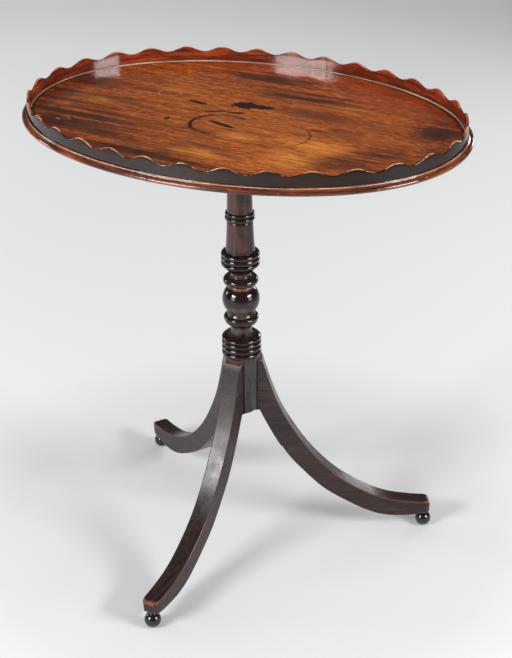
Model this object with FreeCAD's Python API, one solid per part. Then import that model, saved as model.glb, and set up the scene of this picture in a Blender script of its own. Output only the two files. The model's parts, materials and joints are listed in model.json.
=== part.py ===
"""Tea table with an oval tray top on a turned column and three cabriole legs.

The top tips up on two wooden pivots and is held flat by a brass bolt. Millimetres.
+Z is up. The origin is on the floor, on the axis of the column. X runs along the
length of the tray, Y across it, and one leg points nearly along -Y.
"""
import FreeCAD, Part

import math
import os

from FreeCAD import Rotation, Vector

UP = Vector(0, 0, 1)
X_AXIS = Vector(1, 0, 0)
Y_AXIS = Vector(0, 1, 0)

# ---------------------------------------------------------------- driving dimensions
# Tray board: an oval, measured to the line where the gallery meets the board.
tray_half_length = 320.0
tray_half_width = 238.2
board_thickness = 9.3
tray_offset = (3.9, 5.1)     # the tray sits this far off the column, along and across

# Gallery: a bent strip with a wavy top, standing in a rebate round the board.
gallery_thickness = 3.0
gallery_rise = 22.2          # board surface to the crests of the waves
gallery_wave_height = 7.5    # crest to trough
gallery_waves = 32
gallery_first_crest = 0.827  # in waves, past the left end of the oval
gallery_rebate = 5.0         # depth of the rebate
gallery_joints = (8.75, 23.75)   # the two scarf joints, in waves past the left end
scarf_length = 9.0

# Beads at the foot of the gallery, and the moulding glued round the edge.
inner_bead_width = 1.8
inner_bead_rise = 0.9
inner_bead_depth = 1.2
outer_bead_width = 1.7
outer_bead_rise = 1.7
moulding_projection = 8.05   # beyond the outer face of the gallery
moulding_top_drop = 1.0      # board surface down to the ledge that carries the outer bead
moulding_nose_height = 6.0
moulding_hollow_width = 2.6

# Block and pivots that the top tips on.
block_length = 92.0
block_width = 80.0
block_thickness = 34.0
block_chamfer = 3.0
pivot_radius = 6.0
pivot_drop = 11.0            # underside of the board down to the pivot axis
pivot_in_block = 25.0
top_gap = 0.3                # between the board and the block, flat or tipped
pivot_clearance = 0.06       # radial, in the bearers

# Bearers under the board.
bearer_length = 360.0
bearer_width = 22.0
bearer_height = 22.0
bearer_end_height = 8.0
bearer_taper = 60.0
bearer_side_gap = 0.8        # beside the block
bearer_screw_stations = (-115.0, -45.0, 45.0, 115.0)

# Sliding bolt under the board, shown drawn back, and its keeper on the block.
bolt_plate_width = 32.0
bolt_plate_length = 62.0
bolt_plate_thickness = 1.5
bolt_plate_setback = 4.0     # from the front of the block
bolt_guide_width = 18.0
bolt_guide_length = 10.0
bolt_radius = 4.0
bolt_drop = 7.5              # underside of the board down to the bolt's centre
bolt_length = 62.0
bolt_travel = 8.0
bolt_setback = 2.0           # drawn bolt to the face of the keeper
bolt_clearance = 0.08        # radial, in the guides
keeper_clearance = 0.4       # radial, round the bolt
keeper_width = 34.0
keeper_height = 16.0
keeper_thickness = 1.5
knob_radius = 5.0
knob_stem_radius = 2.0
knob_height = 13.0

# Column. The table of its turnings is with the levels below.
column_clear_height = 222.4  # floor to the underside of the column
base_radius = 27.65          # the plain drum that the legs are let into
base_height = 92.4
base_arch_depth = 3.5        # shallow arch cut in the lower edge between two legs
base_arch_width = 22.0
shaft_length = 87.5
shaft_foot_radius = 18.9
shaft_top_radius = 16.6
collar_height = 9.7
collar_radius = 21.0
tenon_radius = 14.0
wedge_thickness = 3.0
wedge_tip_thickness = 1.0
wedge_depth = 28.0

# Legs. Their side outline is given with the function that draws it.
leg_count = 3
first_leg_angle = 30.0
leg_turns = (-0.8, -0.8, 1.4)  # each leg's own turn away from even spacing, in degrees
foot_circle_radius = 286.5
leg_head_below_rings = 5.0   # lowest ring down to the top of the leg
leg_head_projection = 3.5
leg_head_slope = 2.2
leg_head_width = 28.4
leg_toe_width = 25.6
leg_toe_height = 48.4        # floor to the top of the toe
leg_toe_overhang = 9.0       # foot centre to the end of the toe
leg_toe_round = 6.0          # rounding over the end of the toe
leg_toe_lower_round = 1.25   # and under it
leg_edge_radius = 2.2
dovetail_depth = 12.0
dovetail_neck = 12.0
dovetail_tip = 17.0
dovetail_stop = 10.0         # head of the leg down to the top of the dovetail
dovetail_clearance = 0.1

# Ball feet.
foot_ball_radius = 12.3
foot_flat_radius = 3.0
foot_neck_radius = 6.0
foot_gap = 2.4               # top of the ball up to the underside of the leg
spigot_radius = 4.5
spigot_length = 14.0

# Iron brace under the column, with an arm bent down the underside of each leg.
brace_thickness = 3.0
brace_hub_radius = 20.0
brace_arm_width = 12.0
brace_arm_reach = 62.0
brace_screw_stations = (39.0, 54.0)
brace_screw_sink = 0.4       # heads below the face of the iron

# Countersunk wood screws: head radius, shank radius, length.
wood_screw = (4.0, 2.0, 28.0)
brace_screw = (3.6, 1.8, 16.0)
small_screw = (2.6, 1.3, 9.0)
screw_slot_width = 0.9
screw_slot_depth = 0.9

# ---------------------------------------------------------------- levels
foot_ball_centre = math.sqrt(foot_ball_radius ** 2 - foot_flat_radius ** 2)
leg_underside = foot_ball_centre + foot_ball_radius + foot_gap
base_top = column_clear_height + base_height
leg_head = base_top - leg_head_below_rings

# Turnings above the drum, from the bottom up: height, radius at the top, and the
# radius half way up for an arc, or None for a straight line.
ring_radius = base_radius + 2.25
ring_groove_radius = base_radius - 0.95
ring_height = 8.6
reed_radius = 28.7
small_ring_radius = 22.2
turnings = (
    [(ring_height, ring_groove_radius, ring_radius)] * 3
    + [
        (6.0, 28.2, 29.7),                 # rim of the dome
        (5.4, 16.6, 24.9),                 # low dome
        (10.4, 15.9, 15.6),                # neck
        (4.9, 21.0, 17.2),                 # hollow under the cup
        (8.0, 25.7, 24.7),                 # cup
        (5.0, 24.6, 26.2),                 # its rim
        (0.0, 20.6, None),
        (3.4, 20.6, 21.4),                 # fillet under the ball
        (3.9, 19.9, None),
        (40.4, 18.8, 28.0),                # ball
        (0.0, 20.2, None),
        (3.4, 20.4, 21.1),                 # small bead
        (13.4, 18.6, 26.3),                # upper ring
        (0.0, 16.0, None),
        (5.8, 14.9, 15.1),                 # upper neck
        (12.0, 27.0, 21.2),                # bowl
        (6.6, 26.6, reed_radius),          # three reeds
        (8.0, 26.6, reed_radius),
        (7.2, 26.0, reed_radius),
        (0.0, 22.0, None),
        (46.4, 19.4, 20.4),                # short taper
        (3.6, 18.2, None),
        (7.4, 19.6, small_ring_radius),    # two small rings
        (6.2, shaft_foot_radius + 0.2, small_ring_radius - 0.5),
        (0.0, shaft_foot_radius, None),
    ]
)
shaft_foot = base_top + sum(height for height, _, _ in turnings)
shaft_top = shaft_foot + shaft_length
block_bottom = shaft_top + collar_height
block_top = block_bottom + block_thickness
board_bottom = block_top + top_gap
board_surface = board_bottom + board_thickness
overall_height = board_surface + gallery_rise

pivot_height = board_bottom - pivot_drop
pivot_y = block_width / 2 + top_gap - pivot_drop
block_front = -block_width / 2
bearer_x = block_length / 2 + bearer_side_gap + bearer_width / 2
bolt_height = board_bottom - bolt_drop

print("overall height", round(overall_height, 2))


# ---------------------------------------------------------------- small helpers
def box(low, high):
    """A block between two corners."""
    size = [high[i] - low[i] for i in range(3)]
    return Part.makeBox(*size, Vector(*low))


def line(p, q):
    return Part.LineSegment(p, q).toShape()


def arc(p, middle, q):
    return Part.Arc(p, middle, q).toShape()


def turned(points_and_arcs):
    """A solid of revolution about Z from edges in the XZ plane that start and end on Z."""
    return Part.Face(Part.Wire(points_and_arcs)).revolve(Vector(), UP, 360)


def closed(points):
    """The edges of a closed outline of straight lines."""
    return [line(points[i - 1], points[i]) for i in range(len(points))]


def prism(points, direction):
    """A closed outline of straight lines, extruded."""
    return Part.Face(Part.Wire(closed(points))).extrude(direction)


def about_column(shape, degrees):
    """A copy, turned about the column."""
    copy = shape.copy()
    copy.rotate(Vector(), UP, degrees)
    return copy


def screw(point, direction, size):
    """A countersunk wood screw: its head is flush at the point, its shank runs along the direction."""
    head, shank, length = size
    cone = Part.makeCone(head, shank, head - shank)
    body = cone.fuse(Part.makeCylinder(shank, length - shank))
    body = body.fuse(Part.makeCone(shank, 0.0, shank, Vector(0, 0, length - shank)))
    half = screw_slot_width / 2
    slot = box((-head, -half, 0), (head, half, screw_slot_depth))
    return placed(body.cut(slot), point, direction)


def screw_hole(point, direction, size):
    """The room that a screw takes, open behind its head."""
    head, shank, length = size
    hole = Part.makeCone(head, shank, head - shank)
    hole = hole.fuse(Part.makeCylinder(shank, length))
    hole = hole.fuse(Part.makeCylinder(head, shank, Vector(0, 0, -shank)))
    return placed(hole, point, direction)


def placed(shape, point, direction):
    """The shape, its Z turned to the direction and its origin moved to the point."""
    copy = shape.copy()
    copy.Placement = FreeCAD.Placement(point, Rotation(UP, direction))
    return copy


def group(solids):
    return Part.makeCompound(solids)


# ---------------------------------------------------------------- the oval
OVAL_STEPS = 4000


def oval_table():
    """Angles round the oval from its left end, and the distance walked to each."""
    step = 2 * math.pi / OVAL_STEPS
    angles = [-math.pi + i * step for i in range(OVAL_STEPS + 1)]
    walked = [0.0]
    for angle in angles[:-1]:
        middle = angle + step / 2
        across = tray_half_length * math.sin(middle)
        along = tray_half_width * math.cos(middle)
        walked.append(walked[-1] + math.hypot(across, along) * step)
    return angles, walked


oval_angles, oval_walked = oval_table()
oval_length = oval_walked[-1]
wave_length = oval_length / gallery_waves


def oval_angle(distance):
    """The angle reached after walking a distance round the oval from its left end."""
    distance %= oval_length
    index = int(distance / oval_length * OVAL_STEPS)
    while oval_walked[index] > distance:
        index -= 1
    while oval_walked[index + 1] < distance:
        index += 1
    share = (distance - oval_walked[index]) / (oval_walked[index + 1] - oval_walked[index])
    return oval_angles[index] + share * 2 * math.pi / OVAL_STEPS


def oval_point(distance, outwards, height):
    """A point beside the oval: how far round it, how far outside it, and how high."""
    angle = oval_angle(distance)
    normal = Vector(tray_half_width * math.cos(angle), tray_half_length * math.sin(angle), 0)
    normal.normalize()
    on_line = Vector(tray_half_length * math.cos(angle), tray_half_width * math.sin(angle), height)
    return on_line + normal * outwards


def oval_line():
    """The line where the gallery meets the board, at height 0."""
    oval = Part.Ellipse(Vector(), tray_half_length, tray_half_width)
    return Part.Wire([oval.toShape()])


def section(outwards, height):
    """A point of a cross-section of the rim, where the oval meets the X axis."""
    return Vector(tray_half_length + outwards, 0, height)


def round_the_oval(edges):
    """Sweeps a closed cross-section round the oval."""
    return oval_line().makePipeShell([Part.Wire(edges)], True, True)


# ---------------------------------------------------------------- tray
def tray_board():
    """The board: its stepped edge, swept round the oval, and the flat middle."""
    rim = 12.0
    rebate = board_surface - gallery_rebate
    groove = board_surface - inner_bead_depth
    corners = [
        section(-rim, board_bottom),
        section(gallery_thickness, board_bottom),
        section(gallery_thickness, rebate),
        section(0, rebate),
        section(0, groove),
        section(-inner_bead_width, groove),
        section(-inner_bead_width, board_surface),
        section(-rim, board_surface),
    ]
    edge = round_the_oval(closed(corners))
    middle_oval = Part.Ellipse(Vector(), tray_half_length - rim / 2, tray_half_width - rim / 2)
    middle = Part.Face(Part.Wire([middle_oval.toShape()])).extrude(UP * board_thickness)
    middle.translate(UP * board_bottom)
    board = off_column(edge.fuse(middle).removeSplitter())
    for place in bearer_screw_places() + bolt_plate_screw_places():
        board = board.cut(screw_hole(*place))
    return board


def wave_height(distance):
    """The top of the gallery at a distance round the oval."""
    turn = 2 * math.pi * (distance / wave_length - gallery_first_crest)
    drop = gallery_wave_height * (1 - math.cos(turn)) / 2
    return board_surface + gallery_rise - drop


def foot_height(distance):
    """The bottom of the gallery, level all round."""
    return board_surface - gallery_rebate


def rail(first, waves, outwards, shift, height_at):
    """A long edge of the gallery strip, with eight points to a wave and one wave to a unit."""
    points_per_wave = 8
    points = []
    parameters = []
    for i in range(waves * points_per_wave + 1):
        distance = first + shift + wave_length * i / points_per_wave
        points.append(oval_point(distance, outwards, height_at(distance)))
        parameters.append(i / points_per_wave)
    curve = Part.BSplineCurve()
    curve.interpolate(Points=points, Parameters=parameters)
    return curve


def rail_piece(curve, wave):
    """One wave of a long edge."""
    piece = curve.copy()
    piece.segment(float(wave), float(wave + 1))
    return Part.Wire([piece.toShape()])


def gallery_strip(first_wave, last_wave):
    """One strip of the gallery, whose ends are cut on a slant for the scarf joints."""
    waves = round(last_wave - first_wave)
    first = first_wave * wave_length
    rails = [
        rail(first, waves, 0, 0, wave_height),
        rail(first, waves, gallery_thickness, scarf_length, wave_height),
        rail(first, waves, gallery_thickness, scarf_length, foot_height),
        rail(first, waves, 0, 0, foot_height),
    ]
    faces = []
    for wave in range(waves):
        edges = [rail_piece(curve, wave) for curve in rails]
        for i in range(4):
            faces += Part.makeLoft([edges[i], edges[(i + 1) % 4]], False, True).Faces
    for end in (0.0, float(waves)):
        corners = [curve.value(end) for curve in rails]
        faces.append(Part.Face(Part.makePolygon(corners + [corners[0]])))
    shell = Part.Shell(faces)
    shell.sewShape()
    return Part.Solid(shell)


def bead(inner, outer, low, shoulder, crown):
    """A bead round the oval with an upright on each side and an arc over the top."""
    foot_in, foot_out = section(inner, low), section(outer, low)
    top_in, top_out = section(inner, shoulder), section(outer, shoulder)
    middle = section((inner + outer) / 2, crown)
    edges = [
        line(foot_in, foot_out),
        line(foot_out, top_out),
        arc(top_out, middle, top_in),
        line(top_in, foot_in),
    ]
    return round_the_oval(edges)


def inner_bead():
    low = board_surface - inner_bead_depth
    return bead(-inner_bead_width, 0, low, board_surface, board_surface + inner_bead_rise)


def outer_bead():
    low = board_surface - moulding_top_drop
    outer = gallery_thickness + outer_bead_width
    shoulder = low + outer_bead_rise / 2
    return bead(gallery_thickness, outer, low, shoulder, low + outer_bead_rise)


def edge_moulding():
    """The moulding round the edge: a ledge, a hollow and a rounded nose."""
    ledge = board_surface - moulding_top_drop
    inner = gallery_thickness
    ledge_end = inner + outer_bead_width
    hollow_end = ledge_end + moulding_hollow_width
    outer = inner + moulding_projection
    nose_top = board_bottom + moulding_nose_height
    nose_run = outer - hollow_end
    dip = 0.3 * moulding_hollow_width
    hollow_middle = section(ledge_end + dip, (ledge + nose_top) / 2 - dip)
    nose_middle = section(outer, board_bottom + moulding_nose_height / 2)
    edges = [
        line(section(inner, board_bottom), section(outer - nose_run / 2, board_bottom)),
        arc(section(outer - nose_run / 2, board_bottom), nose_middle, section(hollow_end, nose_top)),
        arc(section(hollow_end, nose_top), hollow_middle, section(ledge_end, ledge)),
        line(section(ledge_end, ledge), section(inner, ledge)),
        line(section(inner, ledge), section(inner, board_bottom)),
    ]
    return round_the_oval(edges)


# ---------------------------------------------------------------- bearers
def bearer(side):
    """A bearer across the underside of the board, thinner at its ends, bored for the pivot."""
    half = bearer_length / 2
    low = board_bottom - bearer_height
    tip = board_bottom - bearer_end_height
    flat = half - bearer_taper
    x = side * bearer_x - bearer_width / 2
    outline = [(-half, board_bottom), (half, board_bottom), (half, tip)]
    outline += [(flat, low), (-flat, low), (-half, tip)]
    solid = prism([Vector(x, y, z) for y, z in outline], X_AXIS * bearer_width)
    bore_start = Vector(x, pivot_y, pivot_height)
    solid = solid.cut(Part.makeCylinder(pivot_radius + pivot_clearance, bearer_width, bore_start, X_AXIS))
    for point, direction, size in bearer_screw_places():
        if point.x * side > 0:
            solid = solid.cut(screw_hole(point, direction, size))
    return solid


def bearer_screw_places():
    """Point, direction and size of each screw that holds a bearer to the board."""
    low = board_bottom - bearer_height
    places = []
    for side in (-1, 1):
        for y in bearer_screw_stations:
            places.append((Vector(side * bearer_x, y, low), UP, wood_screw))
    return places


# ---------------------------------------------------------------- block and pivots
def table_block():
    """The block on top of the column, rounded at the back edge that the top turns over."""
    half = block_length / 2
    block = box((-half, block_front, block_bottom), (half, block_width / 2, block_top))
    block = block.makeChamfer(block_chamfer, edges_at_height(block, block_bottom))
    corner = box((-half, pivot_y, pivot_height), (half, block_width, board_surface))
    axle_start = Vector(-half, pivot_y, pivot_height)
    round_edge = Part.makeCylinder(pivot_drop - top_gap, block_length, axle_start, X_AXIS)
    block = block.cut(corner.cut(round_edge))
    block = block.cut(Part.makeCylinder(tenon_radius, block_thickness, Vector(0, 0, block_bottom)))
    for side in (-1, 1):
        block = block.cut(pivot_pin(side))
    keeper_back = block_front + keeper_thickness
    bolt_end = keeper_back + bolt_travel + bolt_clearance
    socket_start = Vector(0, block_front, bolt_height)
    socket = Part.makeCylinder(bolt_radius + keeper_clearance, bolt_end - block_front, socket_start, Y_AXIS)
    block = block.cut(socket).cut(keeper_blank())
    for place in keeper_screw_places():
        block = block.cut(screw_hole(*place))
    return block


def edges_at_height(shape, height):
    """The edges that lie in one level plane."""
    near = 1e-6
    return [e for e in shape.Edges if all(abs(v.Z - height) < near for v in e.Vertexes)]


def pivot_pin(side):
    """A dowel glued into the end of the block, on which a bearer turns."""
    inner = block_length / 2 - pivot_in_block
    outer = block_length / 2 + bearer_side_gap + bearer_width
    start = Vector(side * inner, pivot_y, pivot_height)
    return Part.makeCylinder(pivot_radius, outer - inner, start, X_AXIS * side)


def keeper_blank():
    half = keeper_width / 2
    low = bolt_height - keeper_height / 2
    high = min(bolt_height + keeper_height / 2, block_top)
    return box((-half, block_front, low), (half, block_front + keeper_thickness, high))


def keeper_plate():
    """The brass plate let into the front of the block, with the hole that takes the bolt."""
    hole_start = Vector(0, block_front, bolt_height)
    hole = Part.makeCylinder(bolt_radius + keeper_clearance, keeper_thickness, hole_start, Y_AXIS)
    plate = keeper_blank().cut(hole)
    for place in keeper_screw_places():
        plate = plate.cut(screw_hole(*place))
    return plate


def keeper_screw_places():
    inset = 2 * small_screw[0]
    places = []
    for side in (-1, 1):
        point = Vector(side * (keeper_width / 2 - inset), block_front, bolt_height)
        places.append((point, Y_AXIS, small_screw))
    return places


# ---------------------------------------------------------------- sliding bolt
bolt_plate_back = block_front - bolt_plate_setback
bolt_plate_front = bolt_plate_back - bolt_plate_length
bolt_plate_bottom = board_bottom - bolt_plate_thickness
bolt_tip = block_front - bolt_setback


def bolt_guide(centre_y):
    """One of the two loops that the bolt slides in."""
    half = bolt_guide_width / 2
    low = bolt_height - bolt_radius - bolt_plate_thickness
    ends = (centre_y - bolt_guide_length / 2, centre_y + bolt_guide_length / 2)
    return box((-half, ends[0], low), (half, ends[1], bolt_plate_bottom))


def bolt_guide_centres():
    return (bolt_plate_back - bolt_guide_length / 2, bolt_plate_front + bolt_guide_length / 2)


def bolt_plate():
    """The brass plate under the board, with a guide for the bolt at each end."""
    half = bolt_plate_width / 2
    plate = box((-half, bolt_plate_front, bolt_plate_bottom), (half, bolt_plate_back, board_bottom))
    for centre in bolt_guide_centres():
        plate = plate.fuse(bolt_guide(centre))
    bore_start = Vector(0, bolt_plate_front, bolt_height)
    bore = Part.makeCylinder(bolt_radius + bolt_clearance, bolt_plate_length, bore_start, Y_AXIS)
    plate = plate.cut(bore)
    for place in bolt_plate_screw_places():
        plate = plate.cut(screw_hole(*place))
    return plate.removeSplitter()


def bolt_plate_screw_places():
    """The four small screws of the plate, clear of the guides."""
    inset = 1.4 * small_screw[0]
    reach = bolt_guide_length + 2 * small_screw[0]
    places = []
    for x in (-bolt_plate_width / 2 + inset, bolt_plate_width / 2 - inset):
        for y in (bolt_plate_front + reach, bolt_plate_back - reach):
            places.append((Vector(x, y, bolt_plate_bottom), UP, small_screw))
    return places


def knob_y():
    """The knob stands between the guides, with the bolt's travel ahead of it."""
    return bolt_plate_front + bolt_guide_length + knob_radius + bolt_travel / 2


def slide_bolt():
    """The round bolt, drilled for the knob and rounded at its tip."""
    start = Vector(0, bolt_tip - bolt_length, bolt_height)
    rod = Part.makeCylinder(bolt_radius, bolt_length, start, Y_AXIS)
    rim = [e for e in rod.Edges if abs(e.CenterOfMass.y - bolt_tip) < 1e-6]
    rod = rod.makeFillet(bolt_radius / 3, rim)
    return rod.cut(knob_stem())


def knob_stem():
    low = bolt_height - bolt_radius - knob_height
    return Part.makeCylinder(knob_stem_radius, bolt_height - low, Vector(0, knob_y(), low))


def bolt_knob():
    """A turned knob that hangs from the bolt."""
    low = bolt_height - bolt_radius - knob_height
    neck = low + 0.6 * knob_height
    top = low + knob_height
    edges = [
        line(Vector(0, 0, low), Vector(knob_radius / 2, 0, low)),
        arc(Vector(knob_radius / 2, 0, low), Vector(knob_radius, 0, low + knob_radius / 2),
            Vector(knob_stem_radius, 0, neck)),
        line(Vector(knob_stem_radius, 0, neck), Vector(knob_stem_radius, 0, top)),
        line(Vector(knob_stem_radius, 0, top), Vector(0, 0, top)),
        line(Vector(0, 0, top), Vector(0, 0, low)),
    ]
    knob = turned(edges)
    knob.translate(Vector(0, knob_y(), 0))
    return knob.fuse(knob_stem()).removeSplitter()


# ---------------------------------------------------------------- column
def column_outline():
    """Edges of half the column's outline, from the axis at the bottom to the axis at the top."""
    radius, height = base_radius, column_clear_height
    edges = [line(Vector(0, 0, height), Vector(radius, 0, height))]

    def rise(step, new_radius, middle_radius):
        nonlocal radius, height
        start = Vector(radius, 0, height)
        end = Vector(new_radius, 0, height + step)
        if middle_radius is None:
            edges.append(line(start, end))
        else:
            edges.append(arc(start, Vector(middle_radius, 0, height + step / 2), end))
        radius, height = new_radius, height + step

    rise(base_height, base_radius, None)
    for turning in turnings:
        rise(*turning)
    rise(shaft_length, shaft_top_radius, (shaft_foot_radius + shaft_top_radius) / 2 + 0.2)
    rise(0.35 * collar_height, collar_radius - 1.5, collar_radius - 3.0)
    rise(0.65 * collar_height, collar_radius, collar_radius + 0.8)
    rise(0, tenon_radius, None)
    rise(block_thickness, tenon_radius, None)
    edges.append(line(Vector(radius, 0, height), Vector(0, 0, height)))
    edges.append(line(Vector(0, 0, height), Vector(0, 0, column_clear_height)))
    return edges


def column():
    """The turned column with its wedged tenon, the dovetail sockets and the arched lower edge."""
    solid = turned(column_outline())
    solid = solid.cut(tenon_wedge())
    for angle in leg_angles():
        solid = solid.cut(about_column(dovetail(dovetail_clearance), angle))
        solid = solid.cut(about_column(base_arch(), angle + 180))
    return solid.cut(screw_hole(*brace_hub_screw_place()))


def base_arch():
    """The shallow arch cut in the lower edge of the drum, as if for a leg along +X."""
    half = base_arch_width / 2
    shoulder = 0.15 * base_arch_width
    low = column_clear_height
    x = brace_hub_radius + 1.0
    outline = [
        line(Vector(x, half, low), Vector(x, -half, low)),
        arc(Vector(x, -half, low), Vector(x, shoulder - half, low + 0.8 * base_arch_depth),
            Vector(x, 2 * shoulder - half, low + base_arch_depth)),
        line(Vector(x, 2 * shoulder - half, low + base_arch_depth),
             Vector(x, half - 2 * shoulder, low + base_arch_depth)),
        arc(Vector(x, half - 2 * shoulder, low + base_arch_depth),
            Vector(x, half - shoulder, low + 0.8 * base_arch_depth), Vector(x, half, low)),
    ]
    return Part.Face(Part.Wire(outline)).extrude(X_AXIS * base_radius)


def tenon_wedge():
    """The wedge driven into the top of the tenon, across the length of the block."""
    half = math.sqrt(tenon_radius ** 2 - wedge_thickness ** 2 / 4)
    wide, narrow = wedge_thickness / 2, wedge_tip_thickness / 2
    low = block_top - wedge_depth
    corners = [(-wide, block_top), (wide, block_top), (narrow, low), (-narrow, low)]
    solid = prism([Vector(x, -half, z) for x, z in corners], Y_AXIS * (2 * half))
    return solid.common(Part.makeCylinder(tenon_radius, block_thickness, Vector(0, 0, block_bottom)))


# ---------------------------------------------------------------- legs
# Side outline of the leg, as shares of its reach and of its fall: (outwards, upwards).
leg_top_shape = (
    (0.0670, 0.8179), (0.1366, 0.6385), (0.2563, 0.4344), (0.3761, 0.2847),
    (0.4997, 0.1732), (0.6542, 0.0775), (0.7779, 0.0293), (0.9015, 0.0077),
)
leg_underside_shape = (
    (0.0748, 0.7880), (0.1636, 0.5857), (0.2563, 0.4340), (0.3761, 0.2696),
    (0.4997, 0.1546), (0.6542, 0.0407), (0.7779, -0.0073), (0.9054, -0.0119),
)


def leg_angles():
    return [first_leg_angle + 360.0 / leg_count * i + leg_turns[i] for i in range(leg_count)]


def leg_point(outwards, upwards, low, high):
    """A point of the side outline, in the XZ plane."""
    reach = foot_circle_radius - base_radius
    return Vector(base_radius + outwards * reach, 0, low + upwards * (high - low))


def leg_top_curve():
    """The top of the leg, from its head to the toe."""
    head = Vector(base_radius + leg_head_projection, 0, leg_head - leg_head_slope)
    points = [head]
    points += [leg_point(x, z, leg_toe_height, head.z) for x, z in leg_top_shape]
    points.append(Vector(foot_circle_radius + leg_toe_overhang - leg_toe_round, 0, leg_toe_height))
    curve = Part.BSplineCurve()
    curve.interpolate(points)
    return curve


def leg_underside_curve():
    """The underside of the leg, from the foot of the column to the end of the toe."""
    points = [Vector(base_radius, 0, column_clear_height)]
    points += [leg_point(x, z, leg_underside, column_clear_height) for x, z in leg_underside_shape]
    points.append(leg_point(1.0, 0.0, leg_underside, column_clear_height))
    toe_end = foot_circle_radius + leg_toe_overhang - leg_toe_lower_round
    points.append(Vector(toe_end, 0, leg_underside + leg_toe_lower_round))
    curve = Part.BSplineCurve()
    curve.interpolate(points)
    return curve


def leg_side_face():
    """The whole side of the leg, carried in to the axis of the column."""
    top, under = leg_top_curve(), leg_underside_curve()
    head, toe_top = top.StartPoint, top.EndPoint
    foot, toe_under = under.StartPoint, under.EndPoint
    inside_top = Vector(0, 0, leg_head)
    inside_foot = Vector(0, 0, column_clear_height)
    shoulder = Vector(base_radius, 0, leg_head)
    nose_top = Vector(foot_circle_radius + leg_toe_overhang, 0, toe_top.z - leg_toe_round)
    nose_middle = toe_top + Vector(0.7, 0, -0.3) * leg_toe_round
    edges = [
        line(inside_foot, foot),
        under.toShape(),
        line(toe_under, nose_top),
        arc(nose_top, nose_middle, toe_top),
        top.toShape(),
        line(head, shoulder),
        line(shoulder, inside_top),
        line(inside_top, inside_foot),
    ]
    return Part.Face(Part.Wire(edges))


def leg_plan():
    """The plan of the leg, narrowing from the column to the toe."""
    toe = foot_circle_radius + 2 * leg_toe_overhang
    head, tip = leg_head_width / 2, leg_toe_width / 2
    corners = [(0, -head), (base_radius, -head), (toe, -tip), (toe, tip), (base_radius, head), (0, head)]
    return prism([Vector(x, y, 0) for x, y in corners], UP * leg_head * 1.1)


def dovetail(clearance):
    """The tongue that slides up into the drum. It grows by the clearance for the socket."""
    deep = base_radius - dovetail_depth - clearance
    out = base_radius + 1.5
    slope = (dovetail_tip - dovetail_neck) / 2 / dovetail_depth
    neck = dovetail_neck / 2 + clearance - slope * (out - base_radius)
    tip = dovetail_tip / 2 + clearance
    top = leg_head - dovetail_stop + clearance
    corners = [(deep, -tip), (out, -neck), (out, neck), (deep, tip)]
    outline = [Vector(x, y, column_clear_height) for x, y in corners]
    return prism(outline, UP * (top - column_clear_height))


def leg_blank():
    """A leg along +X before it is drilled."""
    wide = leg_side_face().extrude(Y_AXIS * leg_head_width)
    wide.translate(Y_AXIS * (-leg_head_width / 2))
    body = wide.common(leg_plan())
    drum = Part.makeCylinder(base_radius, leg_head, Vector(0, 0, 0))
    body = body.cut(drum)
    body = body.makeFillet(leg_edge_radius, leg_long_edges(body))
    return body.fuse(dovetail(0)).removeSplitter()


def leg_long_edges(body):
    """The four long edges of the leg, from the head to the toe."""
    reach = foot_circle_radius - base_radius
    return [e for e in body.Edges if e.BoundBox.XLength > 0.7 * reach and e.BoundBox.ZLength > 1]


def leg():
    """A leg along +X, bored for the spigot of its foot and drilled for the brace."""
    body = leg_blank().cut(foot_spigot())
    for place in brace_arm_screw_places():
        body = body.cut(screw_hole(*place))
    return body


# ---------------------------------------------------------------- feet
def foot_spigot():
    start = Vector(foot_circle_radius, 0, foot_ball_centre)
    return Part.makeCylinder(spigot_radius, leg_underside - foot_ball_centre + spigot_length, start)


def foot_ball():
    """A ball foot with a short neck and a spigot that goes up into the leg."""
    centre = Vector(foot_circle_radius, 0, foot_ball_centre)
    ball = Part.makeSphere(foot_ball_radius, centre)
    below = Part.makeCylinder(foot_ball_radius, foot_ball_radius, centre, -UP)
    below.translate(UP * -foot_ball_centre)
    ball = ball.cut(below)
    neck = Part.makeCylinder(foot_neck_radius, leg_underside - foot_ball_centre + 3, centre)
    neck = neck.cut(leg_blank())
    neck = max(neck.Solids, key=lambda solid: -solid.CenterOfMass.z)
    return ball.fuse(neck).fuse(foot_spigot()).removeSplitter()


# ---------------------------------------------------------------- iron brace
def underside_parameter(curve, distance):
    """Where the curve of the leg's underside reaches a distance from the axis."""
    low, high = curve.FirstParameter, curve.LastParameter
    for _ in range(50):
        middle = (low + high) / 2
        if curve.value(middle).x < distance:
            low = middle
        else:
            high = middle
    return middle


def underside_at(distance):
    """The point of the leg's underside at a distance from the axis, and the direction into the leg."""
    curve = leg_underside_curve()
    parameter = underside_parameter(curve, distance)
    tangent = Vector(*curve.tangent(parameter)[0])
    return curve.value(parameter), Vector(-tangent.z, 0, tangent.x)


def brace_arm():
    """An arm along +X: level under the drum, then down the underside of the leg."""
    against_leg = leg_underside_curve()
    against_leg.segment(against_leg.FirstParameter, underside_parameter(against_leg, brace_arm_reach))
    steps = 6
    outer = []
    for i in range(steps + 1):
        point, into = underside_at(base_radius + (brace_arm_reach - base_radius) * i / steps)
        outer.append(point - into * brace_thickness)
    low = column_clear_height - brace_thickness
    outer[0] += (outer[0] - outer[1]) * ((low - outer[0].z) / (outer[0].z - outer[1].z))
    bow = Part.BSplineCurve()
    bow.interpolate(outer)
    start = brace_hub_radius / 2
    inside_top = Vector(start, 0, column_clear_height)
    inside_low = Vector(start, 0, low)
    edges = [
        line(inside_low, inside_top),
        line(inside_top, against_leg.StartPoint),
        against_leg.toShape(),
        line(against_leg.EndPoint, outer[-1]),
        bow.toShape(),
        line(outer[0], inside_low),
    ]
    arm = Part.Face(Part.Wire(edges)).extrude(Y_AXIS * brace_arm_width)
    arm.translate(Y_AXIS * (-brace_arm_width / 2))
    return arm


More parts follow.
